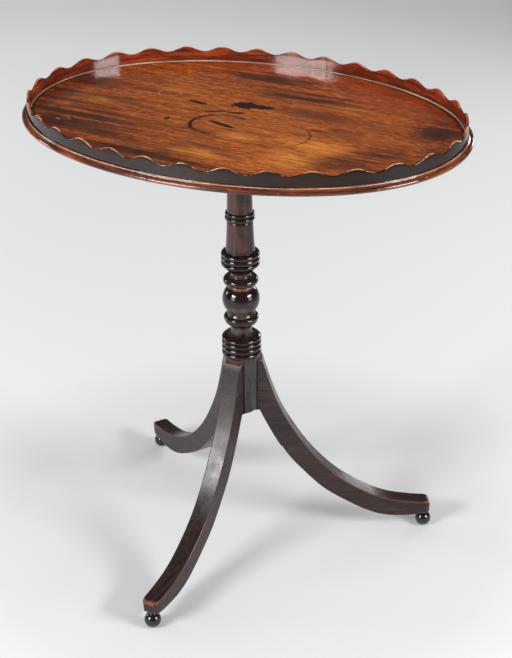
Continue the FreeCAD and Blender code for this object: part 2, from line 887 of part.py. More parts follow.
def leg_brace():
    """The wrought-iron brace: a round hub with an arm for each leg."""
    hub_start = Vector(0, 0, column_clear_height - brace_thickness)
    brace = Part.makeCylinder(brace_hub_radius, brace_thickness, hub_start)
    for angle in leg_angles():
        brace = brace.fuse(about_column(brace_arm(), angle))
    for place in brace_screw_places():
        brace = brace.cut(screw_hole(*place))
    return brace.removeSplitter()


def brace_arm_screw_places():
    """The screws of the arm along +X, square to the underside of the leg."""
    places = []
    for distance in brace_screw_stations:
        point, into = underside_at(distance)
        places.append((point - into * (brace_thickness - brace_screw_sink), into, brace_screw))
    return places


def brace_hub_screw_place():
    return Vector(0, 0, column_clear_height - brace_thickness), UP, brace_screw


def brace_screw_places():
    """All the screws of the brace."""
    places = [brace_hub_screw_place()]
    for angle in leg_angles():
        turn = Rotation(UP, angle)
        for point, direction, size in brace_arm_screw_places():
            places.append((turn.multVec(point), turn.multVec(direction), size))
    return places


# ---------------------------------------------------------------- all the nodes
def off_column(shape):
    """The tray is set a little off the column."""
    shape.translate(Vector(*tray_offset, 0))
    return shape


def nodes():
    """Every piece of the table by name."""
    right_joint, left_joint = gallery_joints
    pieces = {
        "tray_board": tray_board(),
        "gallery_right": off_column(gallery_strip(right_joint, left_joint)),
        "gallery_left": off_column(gallery_strip(left_joint, right_joint + gallery_waves)),
        "inner_bead": off_column(inner_bead()),
        "outer_bead": off_column(outer_bead()),
        "edge_moulding": off_column(edge_moulding()),
        "bearer_left": bearer(-1),
        "bearer_right": bearer(1),
        "bearer_screws": group([screw(*each) for each in bearer_screw_places()]),
        "table_block": table_block(),
        "pivot_pin_left": pivot_pin(-1),
        "pivot_pin_right": pivot_pin(1),
        "keeper_plate": keeper_plate(),
        "keeper_screws": group([screw(*each) for each in keeper_screw_places()]),
        "bolt_plate": bolt_plate(),
        "bolt_plate_screws": group([screw(*each) for each in bolt_plate_screw_places()]),
        "slide_bolt": slide_bolt(),
        "bolt_knob": bolt_knob(),
        "column": column(),
        "tenon_wedge": tenon_wedge(),
        "leg_brace": leg_brace(),
        "leg_brace_screws": group([screw(*each) for each in brace_screw_places()]),
    }
    one_leg, one_foot = leg(), foot_ball()
    for number, angle in enumerate(leg_angles(), 1):
        pieces[f"leg_{number}"] = about_column(one_leg, angle)
        pieces[f"foot_ball_{number}"] = about_column(one_foot, angle)
    return pieces


def write_parts():
    os.makedirs("parts", exist_ok=True)
    for name, shape in nodes().items():
        solids = shape.Solids
        print(name, len(solids), "solids", round(sum(solid.Volume for solid in solids)), "mm3")
        if len(solids) == 1:
            shape = solids[0]
        shape.exportStep(f"parts/{name}.step")


write_parts()
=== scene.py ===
# %% [markdown]
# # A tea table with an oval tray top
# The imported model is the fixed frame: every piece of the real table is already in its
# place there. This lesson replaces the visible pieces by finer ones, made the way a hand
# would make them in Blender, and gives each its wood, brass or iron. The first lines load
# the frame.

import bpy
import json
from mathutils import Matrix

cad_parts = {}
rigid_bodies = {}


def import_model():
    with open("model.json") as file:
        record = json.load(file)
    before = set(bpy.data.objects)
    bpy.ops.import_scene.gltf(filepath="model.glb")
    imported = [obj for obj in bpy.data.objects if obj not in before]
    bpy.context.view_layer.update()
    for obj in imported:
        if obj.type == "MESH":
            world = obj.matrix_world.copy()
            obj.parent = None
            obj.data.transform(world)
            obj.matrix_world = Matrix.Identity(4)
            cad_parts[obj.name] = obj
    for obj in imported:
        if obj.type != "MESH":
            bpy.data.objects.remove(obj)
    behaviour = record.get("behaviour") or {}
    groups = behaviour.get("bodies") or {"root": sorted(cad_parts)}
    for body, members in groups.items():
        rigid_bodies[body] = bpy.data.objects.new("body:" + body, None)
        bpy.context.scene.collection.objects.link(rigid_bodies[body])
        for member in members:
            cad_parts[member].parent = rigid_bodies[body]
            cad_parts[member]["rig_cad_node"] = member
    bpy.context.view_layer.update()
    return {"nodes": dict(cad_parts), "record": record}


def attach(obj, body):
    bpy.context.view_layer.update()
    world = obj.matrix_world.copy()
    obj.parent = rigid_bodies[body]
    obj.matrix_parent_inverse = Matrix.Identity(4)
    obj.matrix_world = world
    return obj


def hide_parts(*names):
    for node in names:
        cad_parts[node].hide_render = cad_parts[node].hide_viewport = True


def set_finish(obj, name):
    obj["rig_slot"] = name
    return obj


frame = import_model()

# %% Modules and units
import json
import math

import bpy
from mathutils import Matrix, Vector

MM = 0.001
scene = bpy.context.scene
scene.view_settings.view_transform = "Standard"

# %% [markdown]
# ## The camera
# The table is seen from the front and the right, a little above the tray. A long lens from
# two metres away keeps the tray's oval calm. The shift only centres the frame.

# %% Place the camera
camera_data = bpy.data.cameras.new("camera")
camera_data.lens = 84.6525
camera_data.shift_x = 0.0016352
camera_data.shift_y = 0.00068359
camera = bpy.data.objects.new("camera", camera_data)
camera.location = (1.01889, -1.79497, 1.4234)
camera.rotation_euler = [math.radians(turn) for turn in (62.6087, 0.5012, 28.7596)]
scene.collection.objects.link(camera)
scene.camera = camera
print("camera", round(camera.location.length, 2), "m from the foot of the column")

# %% [markdown]
# ## Hand tools
# A few moves come back in every piece: deselect everything, add a small primitive, open it
# in edit mode, and draw an outline by extruding one point step by step. They are written
# once here. Points are given in millimetres, because that is how a maker measures.


# %% Start a piece and draw an outline
def deselect():
    if bpy.context.mode != "OBJECT":
        bpy.ops.object.mode_set(mode="OBJECT")
    bpy.ops.object.select_all(action="DESELECT")


def draw_outline(name, points):
    """Draws a chain of points, in millimetres, and leaves it open in edit mode."""
    deselect()
    bpy.ops.mesh.primitive_plane_add(size=MM)
    piece = bpy.context.object
    piece.name = piece.data.name = name
    bpy.ops.object.mode_set(mode="EDIT")
    bpy.ops.mesh.select_all(action="SELECT")
    bpy.ops.mesh.merge(type="CENTER")
    places = [Vector(point) * MM for point in points]
    bpy.ops.transform.translate(value=places[0])
    for before, after in zip(places, places[1:]):
        bpy.ops.mesh.extrude_region_move(TRANSFORM_OT_translate={"value": after - before})
    return piece


def finish_shape(piece, smooth_angle=40):
    """Closes the seams, turns the faces outwards and smooths all but the crisp edges."""
    bpy.ops.object.mode_set(mode="EDIT")
    bpy.ops.mesh.select_all(action="SELECT")
    bpy.ops.mesh.remove_doubles(threshold=0.005 * MM)
    bpy.ops.mesh.normals_make_consistent(inside=False)
    bpy.ops.object.mode_set(mode="OBJECT")
    bpy.ops.object.shade_smooth_by_angle(angle=math.radians(smooth_angle))
    return piece


def apply_modifier(piece, kind, **settings):
    """Adds one modifier to the piece and applies it."""
    deselect()
    piece.select_set(True)
    bpy.context.view_layer.objects.active = piece
    modifier = piece.modifiers.new(kind.lower(), kind)
    for key, value in settings.items():
        setattr(modifier, key, value)
    bpy.ops.object.modifier_apply(modifier=modifier.name)


# %% [markdown]
# ## Where hands and cloths have rubbed
# Polish wears off whatever stands proud. A vertex stands proud when its neighbours lie
# below the plane that touches it, and that drop, as a share of the distance, is kept in an
# attribute named "worn". The materials read it. A second attribute, "grain", keeps where
# each point was in the straight plank, so that the figure of the wood follows a bent piece.


# %% Mark worn places and remember the plank
def mark_worn(piece, gain, spare=None):
    """Keeps how far each point stands proud. Points of the spared attribute stay unworn."""
    mesh = piece.data
    drops = [[] for _ in mesh.vertices]
    for edge in mesh.edges:
        a, b = (mesh.vertices[index] for index in edge.vertices)
        way = (b.co - a.co).normalized()
        drops[a.index].append(-a.normal.dot(way))
        drops[b.index].append(b.normal.dot(way))
    worn = mesh.attributes.new("worn", "FLOAT", "POINT")
    for index, drop in enumerate(drops):
        share = gain * sum(drop) / max(len(drop), 1)
        worn.data[index].value = min(max(share, 0.0), 1.0)
    if spare:
        for index, item in enumerate(mesh.attributes[spare].data):
            if item.value > 0.5:
                mesh.attributes["worn"].data[index].value = 0.0


def remember_plank(piece, shift=(0, 0, 0)):
    grain = piece.data.attributes.new("grain", "FLOAT_VECTOR", "POINT")
    for vertex in piece.data.vertices:
        grain.data[vertex.index].vector = vertex.co + Vector(shift)


def place(piece, body, slot, *nodes):
    """Says which body carries the piece, its finish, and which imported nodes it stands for."""
    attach(piece, body)
    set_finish(piece, slot)
    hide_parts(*nodes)
    print(piece.name, len(piece.data.polygons), "faces, for", ", ".join(nodes))


# %% [markdown]
# ## The column, turned on a lathe
# The real column is one piece of mahogany turned between centres. Here its outline is drawn
# once as a chain of points from the foot to the top and spun round the axis. Each bead or
# hollow is an arc through three points: where the last one ended, the middle and the end.


# %% Draw arcs in an outline
def arc_points(start, middle, end, steps):
    """Points along the arc through three points, without the first one."""
    (ax, ay), (bx, by), (cx, cy) = start, middle, end
    turn = 2 * (ax * (by - cy) + bx * (cy - ay) + cx * (ay - by))
    if abs(turn) < 1e-6:
        return [end]
    a2, b2, c2 = ax * ax + ay * ay, bx * bx + by * by, cx * cx + cy * cy
    x = (a2 * (by - cy) + b2 * (cy - ay) + c2 * (ay - by)) / turn
    y = (a2 * (cx - bx) + b2 * (ax - cx) + c2 * (bx - ax)) / turn
    radius = math.hypot(ax - x, ay - y)
    first = math.atan2(ay - y, ax - x)
    sweep = (math.atan2(cy - y, cx - x) - first) % (2 * math.pi)
    through = (math.atan2(by - y, bx - x) - first) % (2 * math.pi)
    if through > sweep:
        sweep -= 2 * math.pi
    turns = [first + sweep * i / steps for i in range(1, steps + 1)]
    return [(x + radius * math.cos(t), y + radius * math.sin(t)) for t in turns]


def stepped_outline(radius, height, turnings):
    """The outline of a turning from its rises: height, new radius, radius half way up."""
    outline = [(radius, height)]
    for rise, new_radius, middle in turnings:
        end = (new_radius, height + rise)
        if middle is None:
            outline.append(end)
        else:
            steps = max(6, round(rise / 1.6))
            outline += arc_points((radius, height), (middle, height + rise / 2), end, steps)
        radius, height = end
    return outline


def turn_on_lathe(name, outline, axis_x=0.0, steps=112):
    """Spins an outline of (radius, height) round an upright axis."""
    points = [(axis_x + radius, 0, height) for radius, height in outline]
    piece = draw_outline(name, points)
    bpy.ops.mesh.select_all(action="SELECT")
    centre = (axis_x * MM, 0, 0)
    bpy.ops.mesh.spin(steps=steps, angle=2 * math.pi, center=centre, axis=(0, 0, 1))
    return finish_shape(piece)


# %% Turn the column
column_foot, drum_radius, drum_height = 222.4, 27.65, 92.4
ring, groove, reed, small_ring = 29.9, 26.7, 28.7, 22.2
turnings = [(8.6, groove, ring)] * 3 + [
    (6.0, 28.2, 29.7),
    (5.4, 16.6, 24.9),
    (10.4, 15.9, 15.6),
    (4.9, 21.0, 17.2),
    (8.0, 25.7, 24.7),
    (5.0, 24.6, 26.2),
    (0.0, 20.6, None),
    (3.4, 20.6, 21.4),
    (3.9, 19.9, None),
    (40.4, 18.8, 28.0),
    (0.0, 20.2, None),
    (3.4, 20.4, 21.1),
    (13.4, 18.6, 26.3),
    (0.0, 16.0, None),
    (5.8, 14.9, 15.1),
    (12.0, 27.0, 21.2),
    (6.6, 26.6, reed),
    (8.0, 26.6, reed),
    (7.2, 26.0, reed),
    (0.0, 22.0, None),
    (46.4, 19.4, 20.4),
    (3.6, 18.2, None),
    (7.4, 19.6, small_ring),
    (6.2, 19.1, small_ring - 0.5),
    (0.0, 18.9, None),
    (87.5, 16.6, 17.95),
    (3.4, 19.5, 18.0),
    (6.3, 21.0, 21.8),
    (0.0, 14.0, None),
]
outline = [(0.0, column_foot), (drum_radius - 1, column_foot)]
drum = [(drum_height / 8, drum_radius, None)] * 7 + [(drum_height / 8 - 1, drum_radius, None)]
outline += stepped_outline(drum_radius, column_foot + 1, drum + turnings)
outline += [(14.0, outline[-1][1] + 33.4), (13.4, outline[-1][1] + 34.0), (0.0, outline[-1][1] + 34.0)]
column = turn_on_lathe("turned_column", outline)

# %% Arch the lower edge of the drum between the legs
arch_half, arch_rise = 11.0, 3.5
arch = [(48, -arch_half, column_foot - 4), (48, -arch_half, column_foot)]
arch += [(48, -9.35, column_foot + 2.8), (48, -7.7, column_foot + arch_rise), (48, 7.7, column_foot + arch_rise)]
arch += [(48, 9.35, column_foot + 2.8), (48, arch_half, column_foot), (48, arch_half, column_foot - 4)]
for angle in (91.4, 209.2, 329.2):
    cutter = draw_outline("arch_cutter", arch)
    bpy.ops.mesh.select_all(action="SELECT")
    bpy.ops.mesh.edge_face_add()
    bpy.ops.mesh.extrude_region_move(TRANSFORM_OT_translate={"value": (-27 * MM, 0, 0)})
    finish_shape(cutter)
    cutter.data.transform(Matrix.Rotation(math.radians(angle), 4, "Z"))
    apply_modifier(column, "BOOLEAN", object=cutter, operation="DIFFERENCE", solver="EXACT")
    bpy.data.objects.remove(cutter)
finish_shape(column)
print("column", len(column.data.polygons), "faces")

# %% Mark the column and give it its place
remember_plank(column)
joint = column.data.attributes.new("seam", "FLOAT", "POINT")
for vertex in column.data.vertices:
    if vertex.co.z < 309 * MM:
        for angle in (29.2, 149.2, 271.4):
            turned = Matrix.Rotation(math.radians(-angle), 3, "Z") @ vertex.co
            beside = abs(abs(turned.y) - 15.2 * MM) < 1.3 * MM
            if turned.x > 0 and beside:
                joint.data[vertex.index].value = 1.0
mark_worn(column, 5)
place(column, "base", "dark_mahogany", "column")

# %% [markdown]
# ## The legs
# Each leg is sawn from a plank to a curved pattern, so its sides are flat and its top and
# underside follow two long curves. The two curves are drawn as chains, bridged into a flat
# side, and the side is drawn out to the thickness of the plank in a few steps. A taper
# narrows it towards the toe. One leg is made, and the other two are turned copies.

# %% The leg's two curves
leg_top = [
    (16, 309.8), (27.65, 309.8), (31.15, 307.6), (45.0, 260.4), (63.0, 213.9), (94.0, 161.0), (125.0, 122.2),
    (157.0, 93.3), (197.0, 68.5), (229.0, 56.0), (261.0, 50.4), (278.0, 48.8), (289.5, 48.4), (292.5, 47.6),
    (294.7, 45.4), (295.4, 42.4),
]
leg_under = [
    (16, 222.4), (27.65, 222.4), (47.0, 180.9), (70.0, 141.3), (94.0, 111.6), (125.0, 79.4), (157.0, 56.9),
    (197.0, 34.6), (229.0, 25.2), (262.0, 24.3), (286.5, 26.7), (293.8, 27.4), (295.3, 28.6),
]


def smooth_chain(marks, first, last, steps):
    """Points along a smooth curve through marks[first:last + 1]; the others stay as they are."""
    curve = []
    for i in range(first, last):
        p0 = Vector(marks[max(i - 1, first)])
        p1, p2 = Vector(marks[i]), Vector(marks[i + 1])
        p3 = Vector(marks[min(i + 2, last)])
        for k in range(steps):
            t = k / steps
            point = 2 * p1 + (p2 - p0) * t + (2 * p0 - 5 * p1 + 4 * p2 - p3) * t**2
            point += (3 * p1 - p0 - 3 * p2 + p3) * t**3
            curve.append(tuple(point / 2))
    return marks[:first] + curve + marks[last:]


def even_chain(points, count):
    """The same line with its points spaced evenly."""
    walked = [0.0]
    for a, b in zip(points, points[1:]):
        walked.append(walked[-1] + math.dist(a, b))
    chain, i = [], 0
    for k in range(count + 1):
        distance = walked[-1] * k / count
        while i < len(points) - 2 and walked[i + 1] < distance:
            i += 1
        share = (distance - walked[i]) / (walked[i + 1] - walked[i])
        chain.append(tuple(Vector(points[i]).lerp(Vector(points[i + 1]), min(share, 1.0))))
    return chain


# %% Build one leg and copy it
def sawn_leg():
    stations = 84
    top = even_chain(smooth_chain(leg_top, 2, 12, 8), stations)
    under = even_chain(smooth_chain(leg_under, 1, 11, 8), stations)
    plank = 28.68
    piece = draw_outline("leg_1_sawn", [(x, -plank / 2, z) for x, z in top])
    upper = piece
    lower = draw_outline("leg_under", [(x, -plank / 2, z) for x, z in under])
    deselect()
    lower.select_set(True)
    upper.select_set(True)
    bpy.context.view_layer.objects.active = upper
    bpy.ops.object.join()
    bpy.ops.object.mode_set(mode="EDIT")
    bpy.ops.mesh.select_all(action="SELECT")
    bpy.ops.mesh.bridge_edge_loops(number_cuts=7, interpolation="LINEAR")
    bpy.ops.mesh.select_all(action="SELECT")
    slices = 8
    for _ in range(slices):
        step = (0, plank * MM / slices, 0)
        bpy.ops.mesh.extrude_region_move(TRANSFORM_OT_translate={"value": step})
    finish_shape(upper)
    length = upper.dimensions.x
    narrowing = -0.0003527 * length / MM
    apply_modifier(upper, "SIMPLE_DEFORM", deform_method="TAPER", deform_axis="X", factor=narrowing, lock_z=True)
    bpy.ops.object.mode_set(mode="EDIT")
    bpy.ops.mesh.select_all(action="DESELECT")
    bpy.ops.mesh.edges_select_sharp(sharpness=math.radians(50))
    bpy.ops.mesh.bevel(offset=1.7 * MM, segments=3, profile=0.55)
    return finish_shape(upper, 50)


leg = sawn_leg()

# %% Round the corners of the toe
for nearest, furthest, share in ((286, 290, 0.97), (290, 293.3, 0.89), (293.3, 300, 0.72)):
    bpy.ops.object.mode_set(mode="EDIT")
    bpy.ops.mesh.select_mode(type="VERT")
    bpy.ops.mesh.select_all(action="DESELECT")
    bpy.ops.object.mode_set(mode="OBJECT")
    for vertex in leg.data.vertices:
        vertex.select = nearest * MM < vertex.co.x <= furthest * MM
    bpy.ops.object.mode_set(mode="EDIT")
    bpy.ops.transform.resize(value=(1, share, 1), center_override=(0, 0, 0))
finish_shape(leg, 50)
remember_plank(leg)
mark_worn(leg, 9)


# %% Copy a piece round the column
def turned_copy(piece, name, degrees):
    copy = piece.copy()
    copy.data = piece.data.copy()
    copy.name = copy.data.name = name
    scene.collection.objects.link(copy)
    copy.data.transform(Matrix.Rotation(math.radians(degrees), 4, "Z"))
    return copy


leg_angles = (29.2, 149.2, 271.4)
for number, angle in enumerate(leg_angles, 1):
    copy = turned_copy(leg, f"sawn_leg_{number}", angle)
    place(copy, "base", "dark_mahogany", f"leg_{number}")
bpy.data.objects.remove(leg)

# %% [markdown]
# ## The ball feet
# Each foot is a little turned ball with a neck, stained black. It is spun round its own
# axis, at the end of a leg along X, and copied to the other legs.

# %% Turn the feet
ball, ball_middle, foot_out = 12.3, 11.93, 286.5
foot_outline = [(0.0, 0.0), (3.0, 0.0)]
foot_outline += arc_points((3.0, 0.0), (ball, ball_middle), (5.4, ball_middle + 11.05), 26)
foot_outline += [(5.0, 24.0), (5.6, 25.2), (6.6, 26.0), (6.6, 29.5), (0.0, 29.5)]
foot = turn_on_lathe("foot", foot_outline, axis_x=foot_out, steps=64)
remember_plank(foot)
mark_worn(foot, 3)
for number, angle in enumerate(leg_angles, 1):
    copy = turned_copy(foot, f"turned_foot_{number}", angle)
    place(copy, "base", "foot_ebonised", f"foot_ball_{number}")
bpy.data.objects.remove(foot)

# %% [markdown]
# ## The oval path
# The gallery, the beads and the moulding are strips of wood bent round the tray. Each is
# made straight first, one wave long, repeated by an Array and bent by a Curve modifier. The
# path is a circle of Bezier points, squeezed to the oval where the gallery meets the board.

# %% Draw the oval path
tray_half_length, tray_half_width = 320.0, 238.2
tray_offset = Vector((3.9, 5.1, 0)) * MM
board_bottom, board_top = 679.5, 688.8

deselect()
bpy.ops.curve.primitive_bezier_circle_add(radius=1)
oval = bpy.context.object
oval.name = "oval_path"
bpy.ops.object.mode_set(mode="EDIT")
bpy.ops.curve.select_all(action="SELECT")
bpy.ops.transform.resize(value=(tray_half_length * MM, tray_half_width * MM, 1))
bpy.ops.object.mode_set(mode="OBJECT")
oval.data.resolution_u = 96
oval_length = oval.data.splines[0].calc_length() / MM
waves = 32
wave = oval_length / waves
print("round the oval", round(oval_length, 1), "mm, one wave", round(wave, 2), "mm")


# %% Bend a strip round the oval
def straight_wave(name, outline, columns):
    """One wave of a strip along X, open at its ends: the outline is (outwards, upwards)."""
    chain = list(outline) + [outline[0]]
    piece = draw_outline(name, [(0, outwards, upwards) for outwards, upwards in chain])
    bpy.ops.mesh.select_all(action="SELECT")
    bpy.ops.mesh.remove_doubles(threshold=0.01 * MM)
    for _ in range(columns):
        step = (wave * MM / columns, 0, 0)
        bpy.ops.mesh.extrude_region_move(TRANSFORM_OT_translate={"value": step})
    bpy.ops.object.mode_set(mode="OBJECT")
    return piece


def bend_round(piece):
    """Bends a straight strip round the oval and sets it over the tray."""
    apply_modifier(piece, "CURVE", object=oval, deform_axis="POS_X")
    piece.data.transform(Matrix.Translation(tray_offset))
    return finish_shape(piece)


def rounded_bar(inner, outer, low, shoulder, crown, steps=8):
    """Outline of a bead with upright sides and an arc over the top."""
    middle = ((inner + outer) / 2, crown)
    arc = arc_points((outer, shoulder), middle, (inner, shoulder), steps)
    return [(inner, low), (outer, low), (outer, shoulder)] + arc


# %% [markdown]
# ## Beads and moulding
# A bead lies on each side of the gallery's foot, and a moulding with a small hollow
# and a rounded nose is glued round the edge of the board. The inner bead is pale, partly as
# a painted highlight; the outer one is dark, with cream on its rubbed top that is partly wear
# and partly a painted highlight, and the moulding's rubbed nose is partly a painted highlight
# too. They close on themselves, so the ends of each strip are merged.


# %% Make the closed strips
def closed_strip(name, outline, columns, slot, node, gain, rubbed_above=0.0):
    piece = straight_wave(name, outline, columns)
    apply_modifier(piece, "ARRAY", count=waves, use_merge_vertices=True, merge_threshold=0.01 * MM)
    remember_plank(piece)
    bend_round(piece)
    mark_worn(piece, gain)
    worn = piece.data.attributes["worn"].data
    for vertex in piece.data.vertices:
        if vertex.co.z < rubbed_above * MM:
            worn[vertex.index].value *= 0.2
    place(piece, "top", slot, node)
    return piece


columns_per_wave = 12
inner_outline = rounded_bar(-1.5, 0.0, board_top - 1.2, board_top, board_top + 0.9)
closed_strip("inner_string", inner_outline, columns_per_wave, "stringing", "inner_bead", 2)
outer_outline = rounded_bar(3.0, 4.7, board_top - 1.0, board_top - 0.15, board_top + 0.7)
closed_strip("outer_string", outer_outline, columns_per_wave, "stringing", "outer_bead", 2)
nose_out, nose_top = 11.05, board_bottom + 6.0
moulding = [(3.0, board_bottom), (9.18, board_bottom)]
moulding += arc_points((9.18, board_bottom), (nose_out, board_bottom + 3.0), (7.3, nose_top), 12)
moulding += arc_points((7.3, nose_top), (5.48, board_top - 2.93), (4.7, board_top - 1.0), 7)
moulding += [(3.0, board_top - 1.0)]
# No hand rubs the underside, so the lowest part of the moulding keeps its polish.
rubbed_above = board_bottom + 0.6
closed_strip("nosed_moulding", moulding, columns_per_wave, "moulding_mahogany", "edge_moulding", 4, rubbed_above)

# %% [markdown]
# ## The wavy gallery
# The gallery is two strips of thin mahogany whose top edge is sawn to waves and rounded
# over by long use. One wave is made: a straight strip with a rounded top, whose top edge is
# then lowered column by column along a cosine. The strips meet in two slanted scarf joints.

# %% Make one wave of the gallery
gallery_thickness, crest, wave_depth = 3.0, 22.2, 7.5
edge_round = 1.35
rows_below_trough = (0.0, 4.0, 8.0, 12.0)
top_arc_in = arc_points((0.0, crest - edge_round), (0.395, crest - 0.395), (edge_round, crest), 5)
top_arc_out = [(gallery_thickness - x, z) for x, z in reversed(top_arc_in[:-1])]
top_arc_out += [(gallery_thickness, crest - edge_round)]
section = [(0.0, -5.0)] + [(0.0, row) for row in rows_below_trough] + [(0.0, crest - edge_round)]
section += top_arc_in + [(gallery_thickness / 2, crest)] + top_arc_out
section += [(gallery_thickness, row) for row in reversed(rows_below_trough)] + [(gallery_thickness, -5.0)]
section = [(x, board_top + z) for x, z in section]
columns = 24
gallery_wave = straight_wave("gallery_wave", section, columns)


def lower_the_top(piece):
    """Lowers the top edge by the depth of the wave at each column, crest at both ends."""
    bpy.context.view_layer.objects.active = piece
    bpy.ops.object.mode_set(mode="EDIT")
    bpy.ops.mesh.select_mode(type="VERT")
    for column_number in range(columns + 1):
        x = wave * MM * column_number / columns
        drop = wave_depth * (1 - math.cos(2 * math.pi * column_number / columns)) / 2
        bpy.ops.mesh.select_all(action="DESELECT")
        bpy.ops.object.mode_set(mode="OBJECT")
        for vertex in piece.data.vertices:
            near = abs(vertex.co.x - x) < 0.01 * MM
            vertex.select = near and vertex.co.z > (board_top + rows_below_trough[-1] + 0.5) * MM
        bpy.ops.object.mode_set(mode="EDIT")
        bpy.ops.transform.translate(value=(0, 0, -drop * MM))
    bpy.ops.object.mode_set(mode="OBJECT")


lower_the_top(gallery_wave)

# %% Bend the two strips
quarter = waves / 4
first_crest = 0.827


def gallery_strip(name, first_joint, last_joint, node):
    """Repeats the wave, cuts the ends on a slant, and bends the strip round the oval."""
    piece = gallery_wave.copy()
    piece.data = gallery_wave.data.copy()
    piece.name = piece.data.name = name
    scene.collection.objects.link(piece)
    # Distances grow from the left end of the oval, but the path runs the other way.
    high = quarter - first_joint
    low = quarter - last_joint
    crest_place = quarter - first_crest
    start = math.floor(low - crest_place) - 1 + crest_place
    repeats = math.ceil(high - start) + 1
    apply_modifier(piece, "ARRAY", count=repeats, use_merge_vertices=True, merge_threshold=0.01 * MM)
    piece.data.transform(Matrix.Translation(Vector((start * wave * MM, 0, 0))))
    scarf = 9.0
    seam = piece.data.attributes.new("seam", "FLOAT", "POINT")
    for end, side in ((low, -1), (high, 1)):
        bpy.ops.object.mode_set(mode="EDIT")
        bpy.ops.mesh.select_all(action="SELECT")
        point = (end * wave * MM, 0, 0)
        # Outwards by the thickness is back along the path by the scarf.
        normal = Vector((gallery_thickness, scarf, 0)).normalized() * side
        bpy.ops.mesh.bisect(plane_co=point, plane_no=normal, use_fill=True, clear_outer=True)
        bpy.ops.object.mode_set(mode="OBJECT")
        for vertex in piece.data.vertices:
            if vertex.select:
                piece.data.attributes["seam"].data[vertex.index].value = 1.0
    remember_plank(piece)
    bend_round(piece)
    mark_worn(piece, 10, spare="seam")
    # The joint at the front is tighter than the one at the back.
    for index, item in enumerate(piece.data.attributes["seam"].data):
        if piece.data.vertices[index].co.y < 0:
            item.value *= 0.3
    place(piece, "top", "gallery_mahogany", node)
    return piece


gallery_strip("gallery_right_bent", 8.75, 23.75, "gallery_right")
gallery_strip("gallery_left_bent", 23.75, 40.75, "gallery_left")
bpy.data.objects.remove(gallery_wave)
bpy.data.objects.remove(oval)

# %% [markdown]
# ## Sawn blocks, bearers and metalwork
# The pieces under the tray have the right shape already, but perfectly sharp edges, which
# nothing real has. Each gets a copy whose loose triangles are merged and whose edges are
# eased by a small bevel.


# %% Ease the edges of a copy
def eased_copy(node, ease, body, slot, segments=2, gain=4):
    original = frame["nodes"][node]
    piece = original.copy()
    piece.data = original.data.copy()
    piece.name = piece.data.name = node + "_eased"
    for key in list(piece.keys()):
        del piece[key]
    piece.parent = None
    scene.collection.objects.link(piece)
    deselect()
    piece.select_set(True)
    bpy.context.view_layer.objects.active = piece
    piece.data.materials.clear()
    bpy.ops.object.mode_set(mode="EDIT")
    bpy.ops.mesh.select_all(action="SELECT")
    bpy.ops.mesh.customdata_custom_splitnormals_clear()
    bpy.ops.mesh.remove_doubles(threshold=0.001 * MM)
    bpy.ops.mesh.dissolve_limited(angle_limit=math.radians(0.5))
    bpy.ops.object.mode_set(mode="OBJECT")
    apply_modifier(
        piece, "BEVEL", width=ease * MM, segments=segments, limit_method="ANGLE",
        angle_limit=math.radians(35), use_clamp_overlap=True, miter_outer="MITER_ARC",
    )
    bpy.ops.object.shade_smooth_by_angle(angle=math.radians(40))
    remember_plank(piece)
    mark_worn(piece, gain)
    place(piece, body, slot, node)
    return piece


eased_copy("table_block", 1.2, "base", "underside_wood")
for side in ("left", "right"):
    eased_copy("bearer_" + side, 1.2, "top", "underside_wood")
eased_copy("bolt_plate", 0.35, "top", "brass")
eased_copy("keeper_plate", 0.3, "base", "brass")
eased_copy("leg_brace", 0.5, "base", "wrought_iron")

# %% [markdown]
# ## Materials: small helpers
# Every finish is a network of nodes. These helpers add one node with its inputs in a single
# line, and make a shader node group with named sockets. A group only ever gives out colours
# and values that change over the surface; the shader itself stays in the material.


# %% Add nodes and groups
def add(tree, kind, inputs=None, **settings):
    """Adds a node. Inputs are values or other nodes' outputs, by name or number."""
    node = tree.nodes.new("ShaderNode" + kind)
    for key, value in settings.items():
        setattr(node, key, value)
    for key, value in (inputs or {}).items():
        if isinstance(value, bpy.types.NodeSocket):
            tree.links.new(value, node.inputs[key])
        else:
            node.inputs[key].default_value = value
    return node


def math_node(tree, operation, *values, clamp=False):
    return add(tree, "Math", dict(enumerate(values)), operation=operation, use_clamp=clamp).outputs[0]


def times(tree, first, second, clamp=False):
    return math_node(tree, "MULTIPLY", first, second, clamp=clamp)


def plus(tree, first, second, clamp=False):
    return math_node(tree, "ADD", first, second, clamp=clamp)


def stretch(tree, vector, scale):
    """The vector with each direction stretched: large numbers make fine patterns."""
    return add(tree, "VectorMath", {0: vector, 1: scale}, operation="MULTIPLY").outputs[0]


def noise(tree, vector, scale, detail=2.0, roughness=0.5):
    settings = {"Vector": stretch(tree, vector, scale), "Scale": 1.0, "Detail": detail, "Roughness": roughness}
    return add(tree, "TexNoise", settings).outputs["Fac"]


def remap(tree, value, low, high, to_low=0.0, to_high=1.0, smooth=True):
    kind = "SMOOTHSTEP" if smooth else "LINEAR"
    inputs = {"Value": value, "From Min": low, "From Max": high, "To Min": to_low, "To Max": to_high}
    return add(tree, "MapRange", inputs, interpolation_type=kind).outputs["Result"]


def mix(tree, share, first, second, blend="MIX"):
    """Mixes two colours by a share from 0 to 1."""
    node = add(tree, "Mix", data_type="RGBA", blend_type=blend, clamp_factor=True)
    for key, value in ((0, share), (6, first), (7, second)):
        if isinstance(value, bpy.types.NodeSocket):
            tree.links.new(value, node.inputs[key])
        else:
            node.inputs[key].default_value = value
    return node.outputs[2]


def new_group(name, inputs, outputs):
    """A shader node group: inputs and outputs are (name, kind, start value)."""
    group = bpy.data.node_groups.new(name, "ShaderNodeTree")
    for way, sockets in (("INPUT", inputs), ("OUTPUT", outputs)):
        for label, kind, *value in sockets:
            socket = group.interface.new_socket(label, in_out=way, socket_type="NodeSocket" + kind)
            if value:
                socket.default_value = value[0]
    ends = (group.nodes.new("NodeGroupInput").outputs, group.nodes.new("NodeGroupOutput").inputs)
    return group, *ends


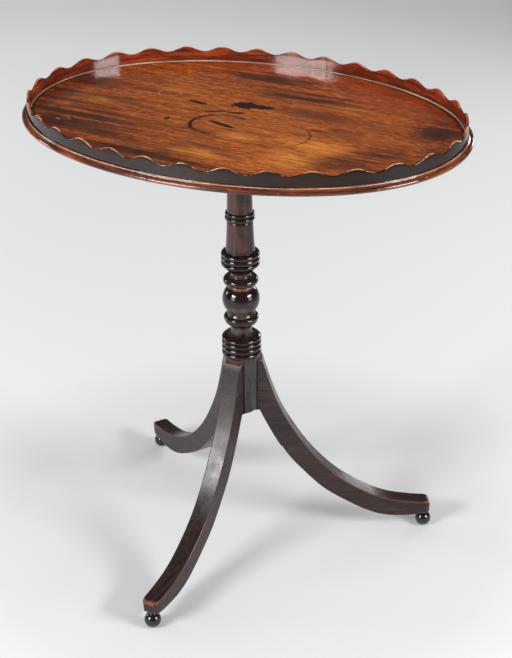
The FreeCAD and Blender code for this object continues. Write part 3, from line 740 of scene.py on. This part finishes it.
def use_group(tree, group, inputs):
    node = add(tree, "Group", node_tree=group)
    for key, value in inputs.items():
        if isinstance(value, bpy.types.NodeSocket):
            tree.links.new(value, node.inputs[key])
        else:
            node.inputs[key].default_value = value
    return node.outputs


def new_material(name):
    material = bpy.data.materials.new(name)
    material.use_nodes = True
    return material, material.node_tree, material.node_tree.nodes["Principled BSDF"]


def colour(red, green, blue):
    return (red, green, blue, 1.0)


# %% [markdown]
# ## The figure of mahogany
# Mahogany has short dark and light streaks along the plank, a fine grain inside them, and
# open pores like dark dashes. All are noise stretched along X, the length of the plank, at
# different widths. A slow noise bends the streaks a little, as a real tree does, and clouds
# of darker wood lie over everything.

# %% Group: wood figure
figure, given, made = new_group(
    "wood figure",
    [("Vector", "Vector"), ("Across", "Float", 170.0), ("Along", "Float", 14.0)],
    [("Streaks", "Float"), ("Fine", "Float"), ("Pores", "Float"), ("Clouds", "Float"), ("Bands", "Float")],
)
bend_amount = math_node(figure, "SUBTRACT", noise(figure, given["Vector"], (3.0, 6.0, 6.0), 2.0), 0.5)
bend_amount = times(figure, bend_amount, 0.035)
bend_vector = add(figure, "CombineXYZ", {"X": 0.0, "Y": bend_amount, "Z": bend_amount}).outputs[0]
bent = add(figure, "VectorMath", {0: given["Vector"], 1: bend_vector}, operation="ADD").outputs[0]
directions = {"X": given["Along"], "Y": given["Across"], "Z": given["Across"]}
stretched = add(figure, "CombineXYZ", directions).outputs[0]
figure.links.new(noise(figure, bent, stretched, 4.0, 0.7), made["Streaks"])
figure.links.new(noise(figure, bent, (70.0, 250.0, 250.0), 4.0, 0.8), made["Fine"])
pores = noise(figure, bent, (150.0, 2300.0, 2300.0), 1.0)
figure.links.new(remap(figure, pores, 0.6, 0.72), made["Pores"])
figure.links.new(noise(figure, bent, (11.0, 30.0, 30.0), 5.0, 0.62), made["Clouds"])
figure.links.new(noise(figure, bent, (3.0, 75.0, 75.0), 2.0, 0.5), made["Bands"])

# %% [markdown]
# ## Rubbed edges
# Wear isn't a clean line. The "worn" attribute is roughened by noise before it becomes a
# mask, so that the polish is broken here and whole there. On the moulding and the strings
# the same mask also lays a painted highlight along the rounded tops.

# %% Group: rubbed edge
rubbed, given, made = new_group(
    "rubbed edge",
    [("Vector", "Vector"), ("Worn", "Float"), ("Amount", "Float", 0.5), ("Breaks", "Float", 0.5)],
    [("Mask", "Float")],
)
broken = noise(rubbed, given["Vector"], (55.0, 90.0, 90.0), 4.0, 0.65)
broken = times(rubbed, math_node(rubbed, "SUBTRACT", broken, 0.5), given["Breaks"])
level = plus(rubbed, plus(rubbed, given["Worn"], broken), given["Amount"])
rubbed.links.new(remap(rubbed, level, 0.75, 1.1), made["Mask"])

# %% [markdown]
# ## A mark on the polish
# Spills, rings and faded places are soft ellipses with ragged edges. The group measures how
# far a point is from the middle of the mark, in its own half widths: 1 is on its edge. A
# blot is everything inside; a ring is only a narrow band about the edge.

# %% Group: mark
mark, given, made = new_group(
    "mark",
    [("Vector", "Vector"), ("Middle", "Vector"), ("Half Size", "Vector", (1.0, 1.0, 1.0)),
     ("Turn", "Float"), ("Ragged", "Float", 0.2)],
    [("Distance", "Float")],
)
away = add(mark, "VectorMath", {0: given["Vector"], 1: given["Middle"]}, operation="SUBTRACT").outputs[0]
turned = add(mark, "VectorRotate", {"Vector": away, "Angle": given["Turn"]}, rotation_type="Z_AXIS").outputs[0]
shares = add(mark, "VectorMath", {0: turned, 1: given["Half Size"]}, operation="DIVIDE").outputs[0]
flat = add(mark, "VectorMath", {0: shares, 1: (1.0, 1.0, 0.0)}, operation="MULTIPLY").outputs[0]
distance = add(mark, "VectorMath", {0: flat}, operation="LENGTH").outputs["Value"]
ragged = math_node(mark, "SUBTRACT", noise(mark, given["Vector"], (110.0, 160.0, 100.0), 4.0, 0.6), 0.5)
ragged = times(mark, ragged, given["Ragged"])
mark.links.new(plus(mark, distance, ragged), made["Distance"])


def blot(tree, vector, x, y, half_x, half_y, turn=0.0, ragged=0.6, soft=0.35):
    """A filled mark on the tray, in millimetres."""
    inputs = {"Vector": vector, "Middle": (x * MM, y * MM, 0), "Half Size": (half_x * MM, half_y * MM, 1)}
    inputs |= {"Turn": math.radians(-turn), "Ragged": ragged}
    return remap(tree, use_group(tree, mark, inputs)["Distance"], 1.0 - soft, 1.0 + soft, 1.0, 0.0)


def ring_mark(tree, vector, x, y, radius, width, ragged=0.06):
    half_size = (radius * MM, radius * MM, 1)
    inputs = {"Vector": vector, "Middle": (x * MM, y * MM, 0), "Half Size": half_size, "Ragged": ragged}
    off = math_node(tree, "SUBTRACT", use_group(tree, mark, inputs)["Distance"], 1.0)
    return remap(tree, math_node(tree, "ABSOLUTE", off), 0.3 * width / radius, width / radius, 1.0, 0.0)


def strongest(tree, *masks):
    result = masks[0]
    for mask in masks[1:]:
        result = math_node(tree, "MAXIMUM", result, mask)
    return result


# %% [markdown]
# ## The tray's polished top
# A century of sun and spills has turned the board golden in the middle of the front and
# dark at the ends. The red band under the back of the gallery is a painted reflection of the
# gallery's red inner wall. The figure runs along the tray. Over it lie an ink stain with a
# few drops, a dark streak, the rings of a saucer and a glass, and a dark band along the bead,
# partly dirt and partly painted shade.

# %% Material: tray mahogany
tray_wood, tree, shader = new_material("tray mahogany")
spot = add(tree, "TexCoord").outputs["Object"]
wood = use_group(tree, figure, {"Vector": spot, "Across": 190.0, "Along": 26.0})
deep, brown, russet, warm, golden = (
    colour(0.035, 0.012, 0.007), colour(0.14, 0.030, 0.011), colour(0.24, 0.038, 0.010),
    colour(0.48, 0.098, 0.013), colour(0.73, 0.250, 0.038),
)
tone = mix(tree, remap(tree, wood["Streaks"], 0.33, 0.62), russet, warm)
tone = mix(tree, remap(tree, wood["Fine"], 0.50, 0.64, 0.0, 0.6), tone, golden)
tone = mix(tree, remap(tree, wood["Fine"], 0.50, 0.38, 0.0, 0.8), tone, brown)
tone = mix(tree, remap(tree, wood["Clouds"], 0.53, 0.33, 0.0, 0.75), tone, brown)
tone = mix(tree, remap(tree, wood["Bands"], 0.54, 0.34, 0.0, 0.4), tone, brown)

# %% Light and dark places of the board
sun = strongest(
    tree, blot(tree, spot, 150, -70, 70, 62, 10, 0.9, 0.8), blot(tree, spot, 20, -150, 110, 26, 0, 0.9, 0.8),
    blot(tree, spot, 40, -10, 190, 100, 0, 0.6, 0.9), blot(tree, spot, -150, 75, 60, 30, 0, 0.8, 0.8),
)
bright_places = strongest(
    tree, blot(tree, spot, 147, -54, 44, 22, 0, 1.2, 0.9), blot(tree, spot, 140, -110, 34, 30, 0, 1.2, 0.9),
    blot(tree, spot, 15, -144, 30, 9, 0, 1.2, 0.9), blot(tree, spot, 109, 102, 32, 7, 0, 1.2, 0.9),
    blot(tree, spot, -227, -22, 34, 10, 0, 1.2, 0.9), blot(tree, spot, 40, -67, 24, 10, 0, 1.2, 0.9),
)
glow = plus(tree, times(tree, sun, 0.22), times(tree, bright_places, 0.75))
lively = remap(tree, wood["Streaks"], 0.36, 0.60, 0.25, 1.0)
tone = mix(tree, times(tree, glow, lively, clamp=True), tone, golden)
# A red band along the back rim: a painted reflection of the gallery's red inner wall in the polish.
mirrored_gallery_red = strongest(
    tree, blot(tree, spot, 190, 165, 120, 34, -25, 0.9, 0.9), blot(tree, spot, -60, 212, 190, 20, 0, 0.9, 0.9),
)
tone = mix(tree, times(tree, mirrored_gallery_red, 0.55), tone, colour(0.27, 0.036, 0.012))
shade = strongest(
    tree, blot(tree, spot, 270, 72, 34, 38, 0, 1.3, 0.6), blot(tree, spot, -225, -95, 120, 95, 0, 1.1, 0.9),
    blot(tree, spot, -60, -165, 150, 34, -12, 1.1, 0.8), blot(tree, spot, 225, -62, 60, 24, 42, 1.3, 0.8),
    blot(tree, spot, -285, 20, 30, 80, 0, 0.9, 0.9), blot(tree, spot, 50, 118, 60, 26, 0, 1.3, 0.9),
    blot(tree, spot, -50, 172, 70, 22, 0, 1.3, 0.9),
)
dark_streak = remap(tree, wood["Bands"], 0.57, 0.43, 0.2, 1.0)
tone = mix(tree, times(tree, times(tree, shade, dark_streak), 0.85), tone, deep)
red_spots = strongest(
    tree, blot(tree, spot, 150, 17, 17, 7, 0, 1.3, 0.5), blot(tree, spot, 120, 2, 12, 5, 0, 1.3, 0.5),
    blot(tree, spot, 79, 97, 70, 4, 0, 1.3, 0.8), blot(tree, spot, 95, 60, 70, 14, 0, 1.3, 0.8),
)
tone = mix(tree, times(tree, red_spots, 0.6), tone, colour(0.10, 0.018, 0.010))
line_noise = noise(tree, spot, (14.0, 330.0, 1.0), 4.0, 0.75)
lines = times(tree, remap(tree, line_noise, 0.55, 0.68), plus(tree, shade, 0.4), clamp=True)
tone = mix(tree, times(tree, lines, 0.8), tone, deep)

# %% Stains and rings
ink = strongest(
    tree, blot(tree, spot, -16, 50, 20, 13, 8, 1.3, 0.12), blot(tree, spot, 8, 53, 20, 8.0, 4, 1.2, 0.15),
    blot(tree, spot, -84, 31, 17, 4.2, -8, 0.7, 0.25), blot(tree, spot, -12, 16, 13, 4.0, 20, 1.2, 0.25),
    blot(tree, spot, 6, -1, 6.5, 3.2, 0, 1.0, 0.25), blot(tree, spot, -8, -34, 25, 4.8, -14, 0.9, 0.25),
    blot(tree, spot, -88, -48, 3, 6, 0, 1.0, 0.4), blot(tree, spot, -40, 10, 18, 3.0, 30, 1.6, 0.5),
)
broken_ring = remap(tree, noise(tree, spot, (30.0, 30.0, 1.0), 3.0), 0.36, 0.50, 0.6, 1.0)
left_half = remap(tree, add(tree, "SeparateXYZ", {0: spot}).outputs["X"], 0.016, -0.022, 0.05, 1.0)
saucer = ring_mark(tree, spot, -14, -36, 38, 4.2, 0.18)
saucer = times(tree, times(tree, saucer, broken_ring), left_half)
right_half = remap(tree, add(tree, "SeparateXYZ", {0: spot}).outputs["X"], 0.09, 0.125, 0.12, 0.8)
glass = times(tree, ring_mark(tree, spot, 84, -38, 43, 1.8, 0.05), right_half)
stain = colour(0.010, 0.006, 0.006)
tone = mix(tree, times(tree, strongest(tree, ink, saucer, glass), 0.95), tone, stain)
pale_ring = times(tree, ring_mark(tree, spot, -142, 48, 16.5, 1.9, 0.12), 0.42)
tone = mix(tree, pale_ring, tone, colour(0.72, 0.26, 0.06))
flecks = strongest(
    tree, blot(tree, spot, -224, -119, 3.4, 1.1, -20, 0.8, 0.3),
    blot(tree, spot, -211, -111, 2.6, 0.9, 0, 0.8, 0.3),
)
tone = mix(tree, times(tree, flecks, 0.8), tone, colour(0.60, 0.50, 0.42))

# %% Dirt and painted shade along the bead, and the polish itself
across = stretch(tree, spot, (1 / 0.32, 1 / 0.2382, 0.0))
off_centre = (-0.0039 / 0.32, -0.0051 / 0.2382, 0.0)
centred = add(tree, "VectorMath", {0: across, 1: off_centre}, operation="ADD").outputs[0]
from_middle = add(tree, "VectorMath", {0: centred}, operation="LENGTH").outputs["Value"]
ragged_rim = times(tree, noise(tree, spot, (60.0, 60.0, 1.0), 3.0), 0.02)
# A dark band along the bead, partly dirt and partly painted shade in the crease at its foot.
rim_dirt_and_shade = remap(tree, plus(tree, from_middle, ragged_rim), 0.985, 1.0)
tone = mix(tree, times(tree, rim_dirt_and_shade, 0.8), tone, deep)
tone = mix(tree, times(tree, wood["Pores"], 0.5), tone, deep)
below = remap(tree, add(tree, "SeparateXYZ", {0: spot}).outputs["Z"], 0.6870, 0.6880, 1.0, 0.0, smooth=False)
dry = mix(tree, remap(tree, wood["Streaks"], 0.35, 0.65), colour(0.10, 0.048, 0.024), colour(0.21, 0.105, 0.05))
dry = mix(tree, times(tree, wood["Pores"], 0.6), dry, deep)
tone = mix(tree, below, tone, dry)
tree.links.new(tone, shader.inputs["Base Color"])
smear = noise(tree, spot, (9.0, 14.0, 1.0), 3.0)
gloss = remap(tree, smear, 0.35, 0.7, 0.07, 0.15)
dull_below = times(tree, below, 0.62)
tree.links.new(math_node(tree, "MAXIMUM", gloss, dull_below), shader.inputs["Roughness"])
swell = noise(tree, spot, (14.0, 22.0, 1.0), 2.0)
height = math_node(tree, "SUBTRACT", swell, times(tree, wood["Pores"], 0.05))
less_shine = remap(tree, strongest(tree, ink, saucer), 0.0, 1.0, 0.5, 0.2)
tree.links.new(less_shine, shader.inputs["Specular IOR Level"])
bump = add(tree, "Bump", {"Strength": 0.12, "Distance": 0.0008, "Height": height})
tree.links.new(bump.outputs[0], shader.inputs["Normal"])
shader.inputs["IOR"].default_value = 1.6
frame["nodes"]["tray_board"].data.materials.clear()
frame["nodes"]["tray_board"].data.materials.append(tray_wood)


# %% [markdown]
# ## Polished mahogany for everything else
# The gallery, the moulding, the column and the legs share one recipe: figure from the
# "grain" attribute, dark old polish over it, and rubbed edges where the red wood shows.
# On the moulding and the strings the rubbed colour is partly a painted highlight, and some
# bands up the column are painted sheen and a painted reflection of the floor.

# %% A recipe for polished wood
def polished_wood(
    name, dark, light, bare_and_highlight, worn_by, gloss, across=190.0, along=12.0,
    grime=0.5, outside=None, levels=(), ior=1.6,
    seam_dirt=0.9,
):
    """worn_by is how much is rubbed and how broken the rubbing is; gloss is from shiny to dull.
    The bare colour is rubbed wood, and on the moulding and the strings partly a painted highlight.
    Levels are (low, high, share, colour, dullness) for bands at some height of a turning; on the
    column these are worn wood, redder wood, painted sheen and a painted reflection."""
    material, tree, shader = new_material(name)
    plank = add(tree, "Attribute", attribute_name="grain").outputs["Vector"]
    worn = add(tree, "Attribute", attribute_name="worn").outputs["Fac"]
    wood = use_group(tree, figure, {"Vector": plank, "Across": across, "Along": along})
    tone = mix(tree, remap(tree, wood["Streaks"], 0.36, 0.64), dark, light)
    tone = mix(tree, remap(tree, wood["Fine"], 0.52, 0.30, 0.0, 0.5), tone, dark)
    tone = mix(tree, remap(tree, wood["Clouds"], 0.40, 0.62, 0.0, grime), tone, dark)
    tone = mix(tree, times(tree, wood["Pores"], 0.5), tone, colour(0.008, 0.005, 0.004))
    if outside:
        # The outer side of the strip has kept its old dark polish.
        depth = add(tree, "SeparateXYZ", {0: plank}).outputs["Y"]
        tone = mix(tree, remap(tree, depth, 0.0018, 0.0026, 0.0, 0.96), tone, outside)
    amount, breaks = worn_by
    mask = use_group(tree, rubbed, {"Vector": plank, "Worn": worn, "Amount": amount, "Breaks": breaks})["Mask"]
    rubbed_and_highlight = mix(tree, remap(tree, wood["Fine"], 0.35, 0.65), bare_and_highlight, mix(tree, 0.5, bare_and_highlight, light))
    tone = mix(tree, mask, tone, rubbed_and_highlight)
    rise = add(tree, "SeparateXYZ", {0: plank}).outputs["Z"]
    patches = remap(tree, noise(tree, plank, (70.0, 70.0, 18.0), 4.0, 0.65), 0.42, 0.58, 0.1, 1.0)
    dull = 0.0
    for low, high, share, shade, dullness in levels:
        inside = remap(tree, rise, (low - 1) * MM, (low + 1) * MM)
        inside = times(tree, inside, remap(tree, rise, (high - 1) * MM, (high + 1) * MM, 1.0, 0.0))
        inside = times(tree, inside, patches)
        tone = mix(tree, times(tree, inside, share), tone, shade)
        dull = plus(tree, dull, times(tree, inside, dullness))
    seam = add(tree, "Attribute", attribute_name="seam").outputs["Fac"]
    tone = mix(tree, times(tree, seam, seam_dirt), tone, colour(0.015, 0.008, 0.006))
    tree.links.new(remap(tree, seam, 0.0, 1.0, 0.5, 0.5 - seam_dirt / 2), shader.inputs["Specular IOR Level"])
    tree.links.new(tone, shader.inputs["Base Color"])
    smear = noise(tree, plank, (30.0, 45.0, 45.0), 3.0)
    shine = plus(tree, remap(tree, smear, 0.35, 0.7, *gloss), dull)
    tree.links.new(shine, shader.inputs["Roughness"])
    height = math_node(tree, "SUBTRACT", smear, times(tree, wood["Pores"], 0.15))
    bump = add(tree, "Bump", {"Strength": 0.2, "Distance": 0.0006, "Height": height})
    tree.links.new(bump.outputs[0], shader.inputs["Normal"])
    shader.inputs["IOR"].default_value = ior
    return material


# %% Materials: gallery, moulding, string, column and legs
finishes = {
    "gallery_mahogany": polished_wood(
        "gallery mahogany", colour(0.075, 0.012, 0.006), colour(0.36, 0.052, 0.014), colour(0.62, 0.25, 0.11),
        (0.10, 1.3), (0.05, 0.12), grime=0.8, outside=colour(0.008, 0.006, 0.005), ior=1.45,
    ),
    # The pale bare colour on the rubbed nose is partly wear and partly a painted highlight.
    "moulding_mahogany": polished_wood(
        "moulding mahogany", colour(0.030, 0.010, 0.007), colour(0.26, 0.062, 0.022), colour(0.90, 0.60, 0.42),
        (0.38, 1.2), (0.10, 0.20),
    ),
    # The pale colour of the inner bead is partly pale wood and partly a painted highlight along its rounded top.
    "stringing": polished_wood(
        "string", colour(0.22, 0.14, 0.10), colour(0.62, 0.50, 0.38), colour(0.75, 0.64, 0.52),
        (0.35, 0.6), (0.15, 0.3),
    ),
    # The cream on the rubbed top of the dark outer bead is partly wear and partly a painted highlight.
    "outer_string": polished_wood(
        "outer string", colour(0.045, 0.016, 0.010), colour(0.22, 0.085, 0.045), colour(0.85, 0.66, 0.50),
        (0.42, 1.3), (0.06, 0.14),
    ),
    "turned_column": polished_wood(
        "column mahogany", colour(0.006, 0.004, 0.004), colour(0.022, 0.009, 0.008), colour(0.10, 0.036, 0.026),
        (0.0, 0.8), (0.07, 0.13), across=150.0, ior=1.5,
        # Bands up the column: the grey bands on the drum and the two necks are painted sheen, the paler band on
        # the lower part of the ball is a painted reflection of the floor, the orange band is a worn bead, and
        # the red bands on the shaft are redder wood.
        levels=[
            (222, 314.8, 0.6, colour(0.040, 0.034, 0.035), 0.10),
            (351, 366, 0.8, colour(0.070, 0.048, 0.040), 0.12),
            (381, 402, 0.75, colour(0.070, 0.052, 0.046), 0.06),
            (427, 431.5, 0.9, colour(0.26, 0.09, 0.040), 0.05),
            (445, 452, 0.8, colour(0.085, 0.052, 0.044), 0.10),
            (490, 534, 0.7, colour(0.075, 0.020, 0.016), 0.0),
            (548, 636, 0.7, colour(0.070, 0.022, 0.018), 0.0),
        ],
    ),
    "dark_mahogany": polished_wood(
        "leg mahogany", colour(0.012, 0.008, 0.008), colour(0.040, 0.020, 0.017), colour(0.20, 0.060, 0.034),
        (0.02, 0.5), (0.24, 0.36), across=260.0, along=9.0, ior=1.42,
    ),
    "foot_ebonised": polished_wood(
        "ebonised foot", colour(0.005, 0.005, 0.005), colour(0.012, 0.010, 0.010), colour(0.05, 0.03, 0.02),
        (0.0, 0.6), (0.08, 0.16),
    ),
    "underside_wood": polished_wood(
        "dry wood", colour(0.07, 0.032, 0.017), colour(0.20, 0.095, 0.045), colour(0.30, 0.16, 0.08),
        (0.2, 0.6), (0.5, 0.7),
    ),
}


# %% [markdown]
# ## Brass, iron and steel
# The bolt and its plates are old brass, brown where fingers don't reach. The brace under
# the column is black wrought iron with rust, and the screws are dull steel.

# %% A recipe for old metal
def old_metal(name, clean, tarnish, share, metallic, gloss_low, gloss_high):
    material, tree, shader = new_material(name)
    spot = add(tree, "TexCoord").outputs["Object"]
    cloud = noise(tree, spot, (90.0, 90.0, 90.0), 5.0, 0.65)
    spread = remap(tree, cloud, share - 0.12, share + 0.12)
    tree.links.new(mix(tree, spread, tarnish, clean), shader.inputs["Base Color"])
    tree.links.new(remap(tree, cloud, 0.3, 0.7, gloss_high, gloss_low), shader.inputs["Roughness"])
    scratch = noise(tree, spot, (900.0, 120.0, 900.0), 2.0)
    bump = add(tree, "Bump", {"Strength": 0.25, "Distance": 0.0002, "Height": plus(tree, cloud, scratch)})
    tree.links.new(bump.outputs[0], shader.inputs["Normal"])
    shader.inputs["Metallic"].default_value = metallic
    return material


old_metals = {
    "brass": ("old brass", colour(0.62, 0.43, 0.17), colour(0.20, 0.12, 0.05), 0.45, 1.0, 0.28, 0.5),
    "wrought_iron": (
        "wrought iron", colour(0.045, 0.04, 0.038), colour(0.10, 0.045, 0.025), 0.36, 0.6, 0.5, 0.75,
    ),
    "screw_steel": ("screw steel", colour(0.36, 0.34, 0.32), colour(0.12, 0.08, 0.06), 0.45, 1.0, 0.35, 0.55),
}
for metal, look in old_metals.items():
    finishes[metal] = old_metal(*look)

# %% Dress every piece
slot_of = {part["node"]: part["material_slot"] for part in frame["record"]["subparts"]}
for piece in bpy.data.objects:
    if piece.type != "MESH":
        continue
    slot = piece.get("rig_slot") or slot_of.get(piece.get("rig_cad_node"))
    finish = finishes.get(piece.name) or finishes.get(slot)
    if finish:
        piece.data.materials.clear()
        piece.data.materials.append(finish)
print(len(finishes) + 1, "finishes")

# %% [markdown]
# ## The studio
# The table stands on a wide pale floor, painted a little greyer right under it as a shadow
# and lighter further back, and the world behind has the grey that the floor has far away, so
# that the horizon hardly shows. Most of the light is even and comes from all round. A low and
# a high softbox on the left and on the right, not much higher than the tray, give the polish
# its shine, and two small windows at the sides light the back of the gallery.

# %% Floor and world
deselect()
bpy.ops.mesh.primitive_circle_add(vertices=128, radius=14, fill_type="NGON")
floor = bpy.context.object
floor.name = "studio_floor"
floor_paint, tree, shader = new_material("floor paint")
spot = add(tree, "TexCoord").outputs["Object"]
away = add(tree, "VectorMath", {0: spot}, operation="LENGTH").outputs["Value"]
grey = add(tree, "ValToRGB", {"Fac": math_node(tree, "DIVIDE", away, 6.0)})
stops = grey.color_ramp.elements
# The first stops, greyer within about 0.4 m of the column, paint the table's shadow on the floor.
floor_tones_with_shadow = ((0.0, 0.62), (0.066, 0.62), (0.10, 0.72), (0.20, 0.76), (0.32, 0.80), (0.44, 0.83), (0.52, 0.77))
for position, level in floor_tones_with_shadow:
    stop = stops.new(position)
    stop.color = (level * 0.99, level, level * 0.995, 1.0)
stops.remove(stops[0])
stops[-1].position = 1.0
stops[-1].color = (0.752, 0.76, 0.757, 1.0)
# The floor is a little darker to the right, away from the larger window.
to_the_right, to_the_back = (0.877, 0.481, 0.0), (-0.481, 0.877, 0.0)
rightwards = add(tree, "VectorMath", {0: spot, 1: to_the_right}, operation="DOT_PRODUCT").outputs["Value"]
off_the_sides = math_node(tree, "SUBTRACT", math_node(tree, "ABSOLUTE", rightwards), 2.2)
off_the_sides = math_node(tree, "ABSOLUTE", off_the_sides)
rightwards = remap(tree, rightwards, -1.2, 1.2, -1.2, 1.2, smooth=False)
far = remap(tree, away, 0.9, 2.2)
darker = times(tree, times(tree, rightwards, far), 0.16)
darker = math_node(tree, "SUBTRACT", 1.0, darker)
# It is greyer in the strips below the lamps, where it would burn out to white.
backwards = add(tree, "VectorMath", {0: spot, 1: to_the_back}, operation="DOT_PRODUCT").outputs["Value"]
off_the_strip = math_node(tree, "ABSOLUTE", plus(tree, backwards, 2.0))
front_strip = remap(tree, off_the_strip, 1.4, 0.5)
side_strips = remap(tree, off_the_sides, 1.45, 0.7)
strip = math_node(tree, "MAXIMUM", front_strip, side_strips)
darker = math_node(tree, "SUBTRACT", darker, times(tree, strip, 0.34))
darker = add(tree, "CombineXYZ", {0: darker, 1: darker, 2: darker}).outputs[0]
shaded = mix(tree, 1.0, grey.outputs["Color"], darker, "MULTIPLY")
tree.links.new(shaded, shader.inputs["Base Color"])
shader.inputs["Roughness"].default_value = 0.9
shader.inputs["Specular IOR Level"].default_value = 0.1
floor.data.materials.append(floor_paint)

world = bpy.data.worlds.new("studio")
scene.world = world
world.use_nodes = True
tree = world.node_tree
path = add(tree, "LightPath").outputs
# The camera, the mirrors in the polish and everything else each see the world at its own level.
seen_level, mirrored_level, fill_level = 0.41, 0.07, 0.54
level = times(tree, path["Is Camera Ray"], seen_level)
others = math_node(tree, "SUBTRACT", 1.0, path["Is Camera Ray"])
glossy = times(tree, path["Is Glossy Ray"], mirrored_level - fill_level)
others = times(tree, others, plus(tree, glossy, fill_level))
tree.links.new(plus(tree, level, others), tree.nodes["Background"].inputs["Strength"])
tree.nodes["Background"].inputs["Color"].default_value = (0.99, 1.0, 1.0, 1.0)


# %% Softboxes
def softbox(name, azimuth, distance, height, width, tall, watts):
    lamp = bpy.data.lights.new(name, "AREA")
    lamp.shape = "RECTANGLE"
    lamp.size, lamp.size_y, lamp.energy = width, tall, watts
    box = bpy.data.objects.new(name, lamp)
    turn = math.radians(azimuth)
    box.location = (distance * math.cos(turn), distance * math.sin(turn), height)
    towards = Vector((0, 0, 0.6)) - box.location
    box.rotation_euler = towards.to_track_quat("-Z", "Y").to_euler()
    scene.collection.objects.link(box)
    return box


softbox("softbox_left", -113, 2.6, 1.6, 1.02, 0.45, 60)
softbox("softbox_left_low", -111, 2.6, 0.85, 0.9, 0.9, 14)
softbox("softbox_right", -2, 2.6, 1.6, 1.1, 0.38, 56)
softbox("softbox_right_low", -2, 2.6, 0.8, 0.9, 0.9, 14)
softbox("window_left", -172, 2.6, 0.9, 0.4, 0.5, 8)
softbox("window_right", 81, 2.6, 0.8, 0.4, 0.5, 8)
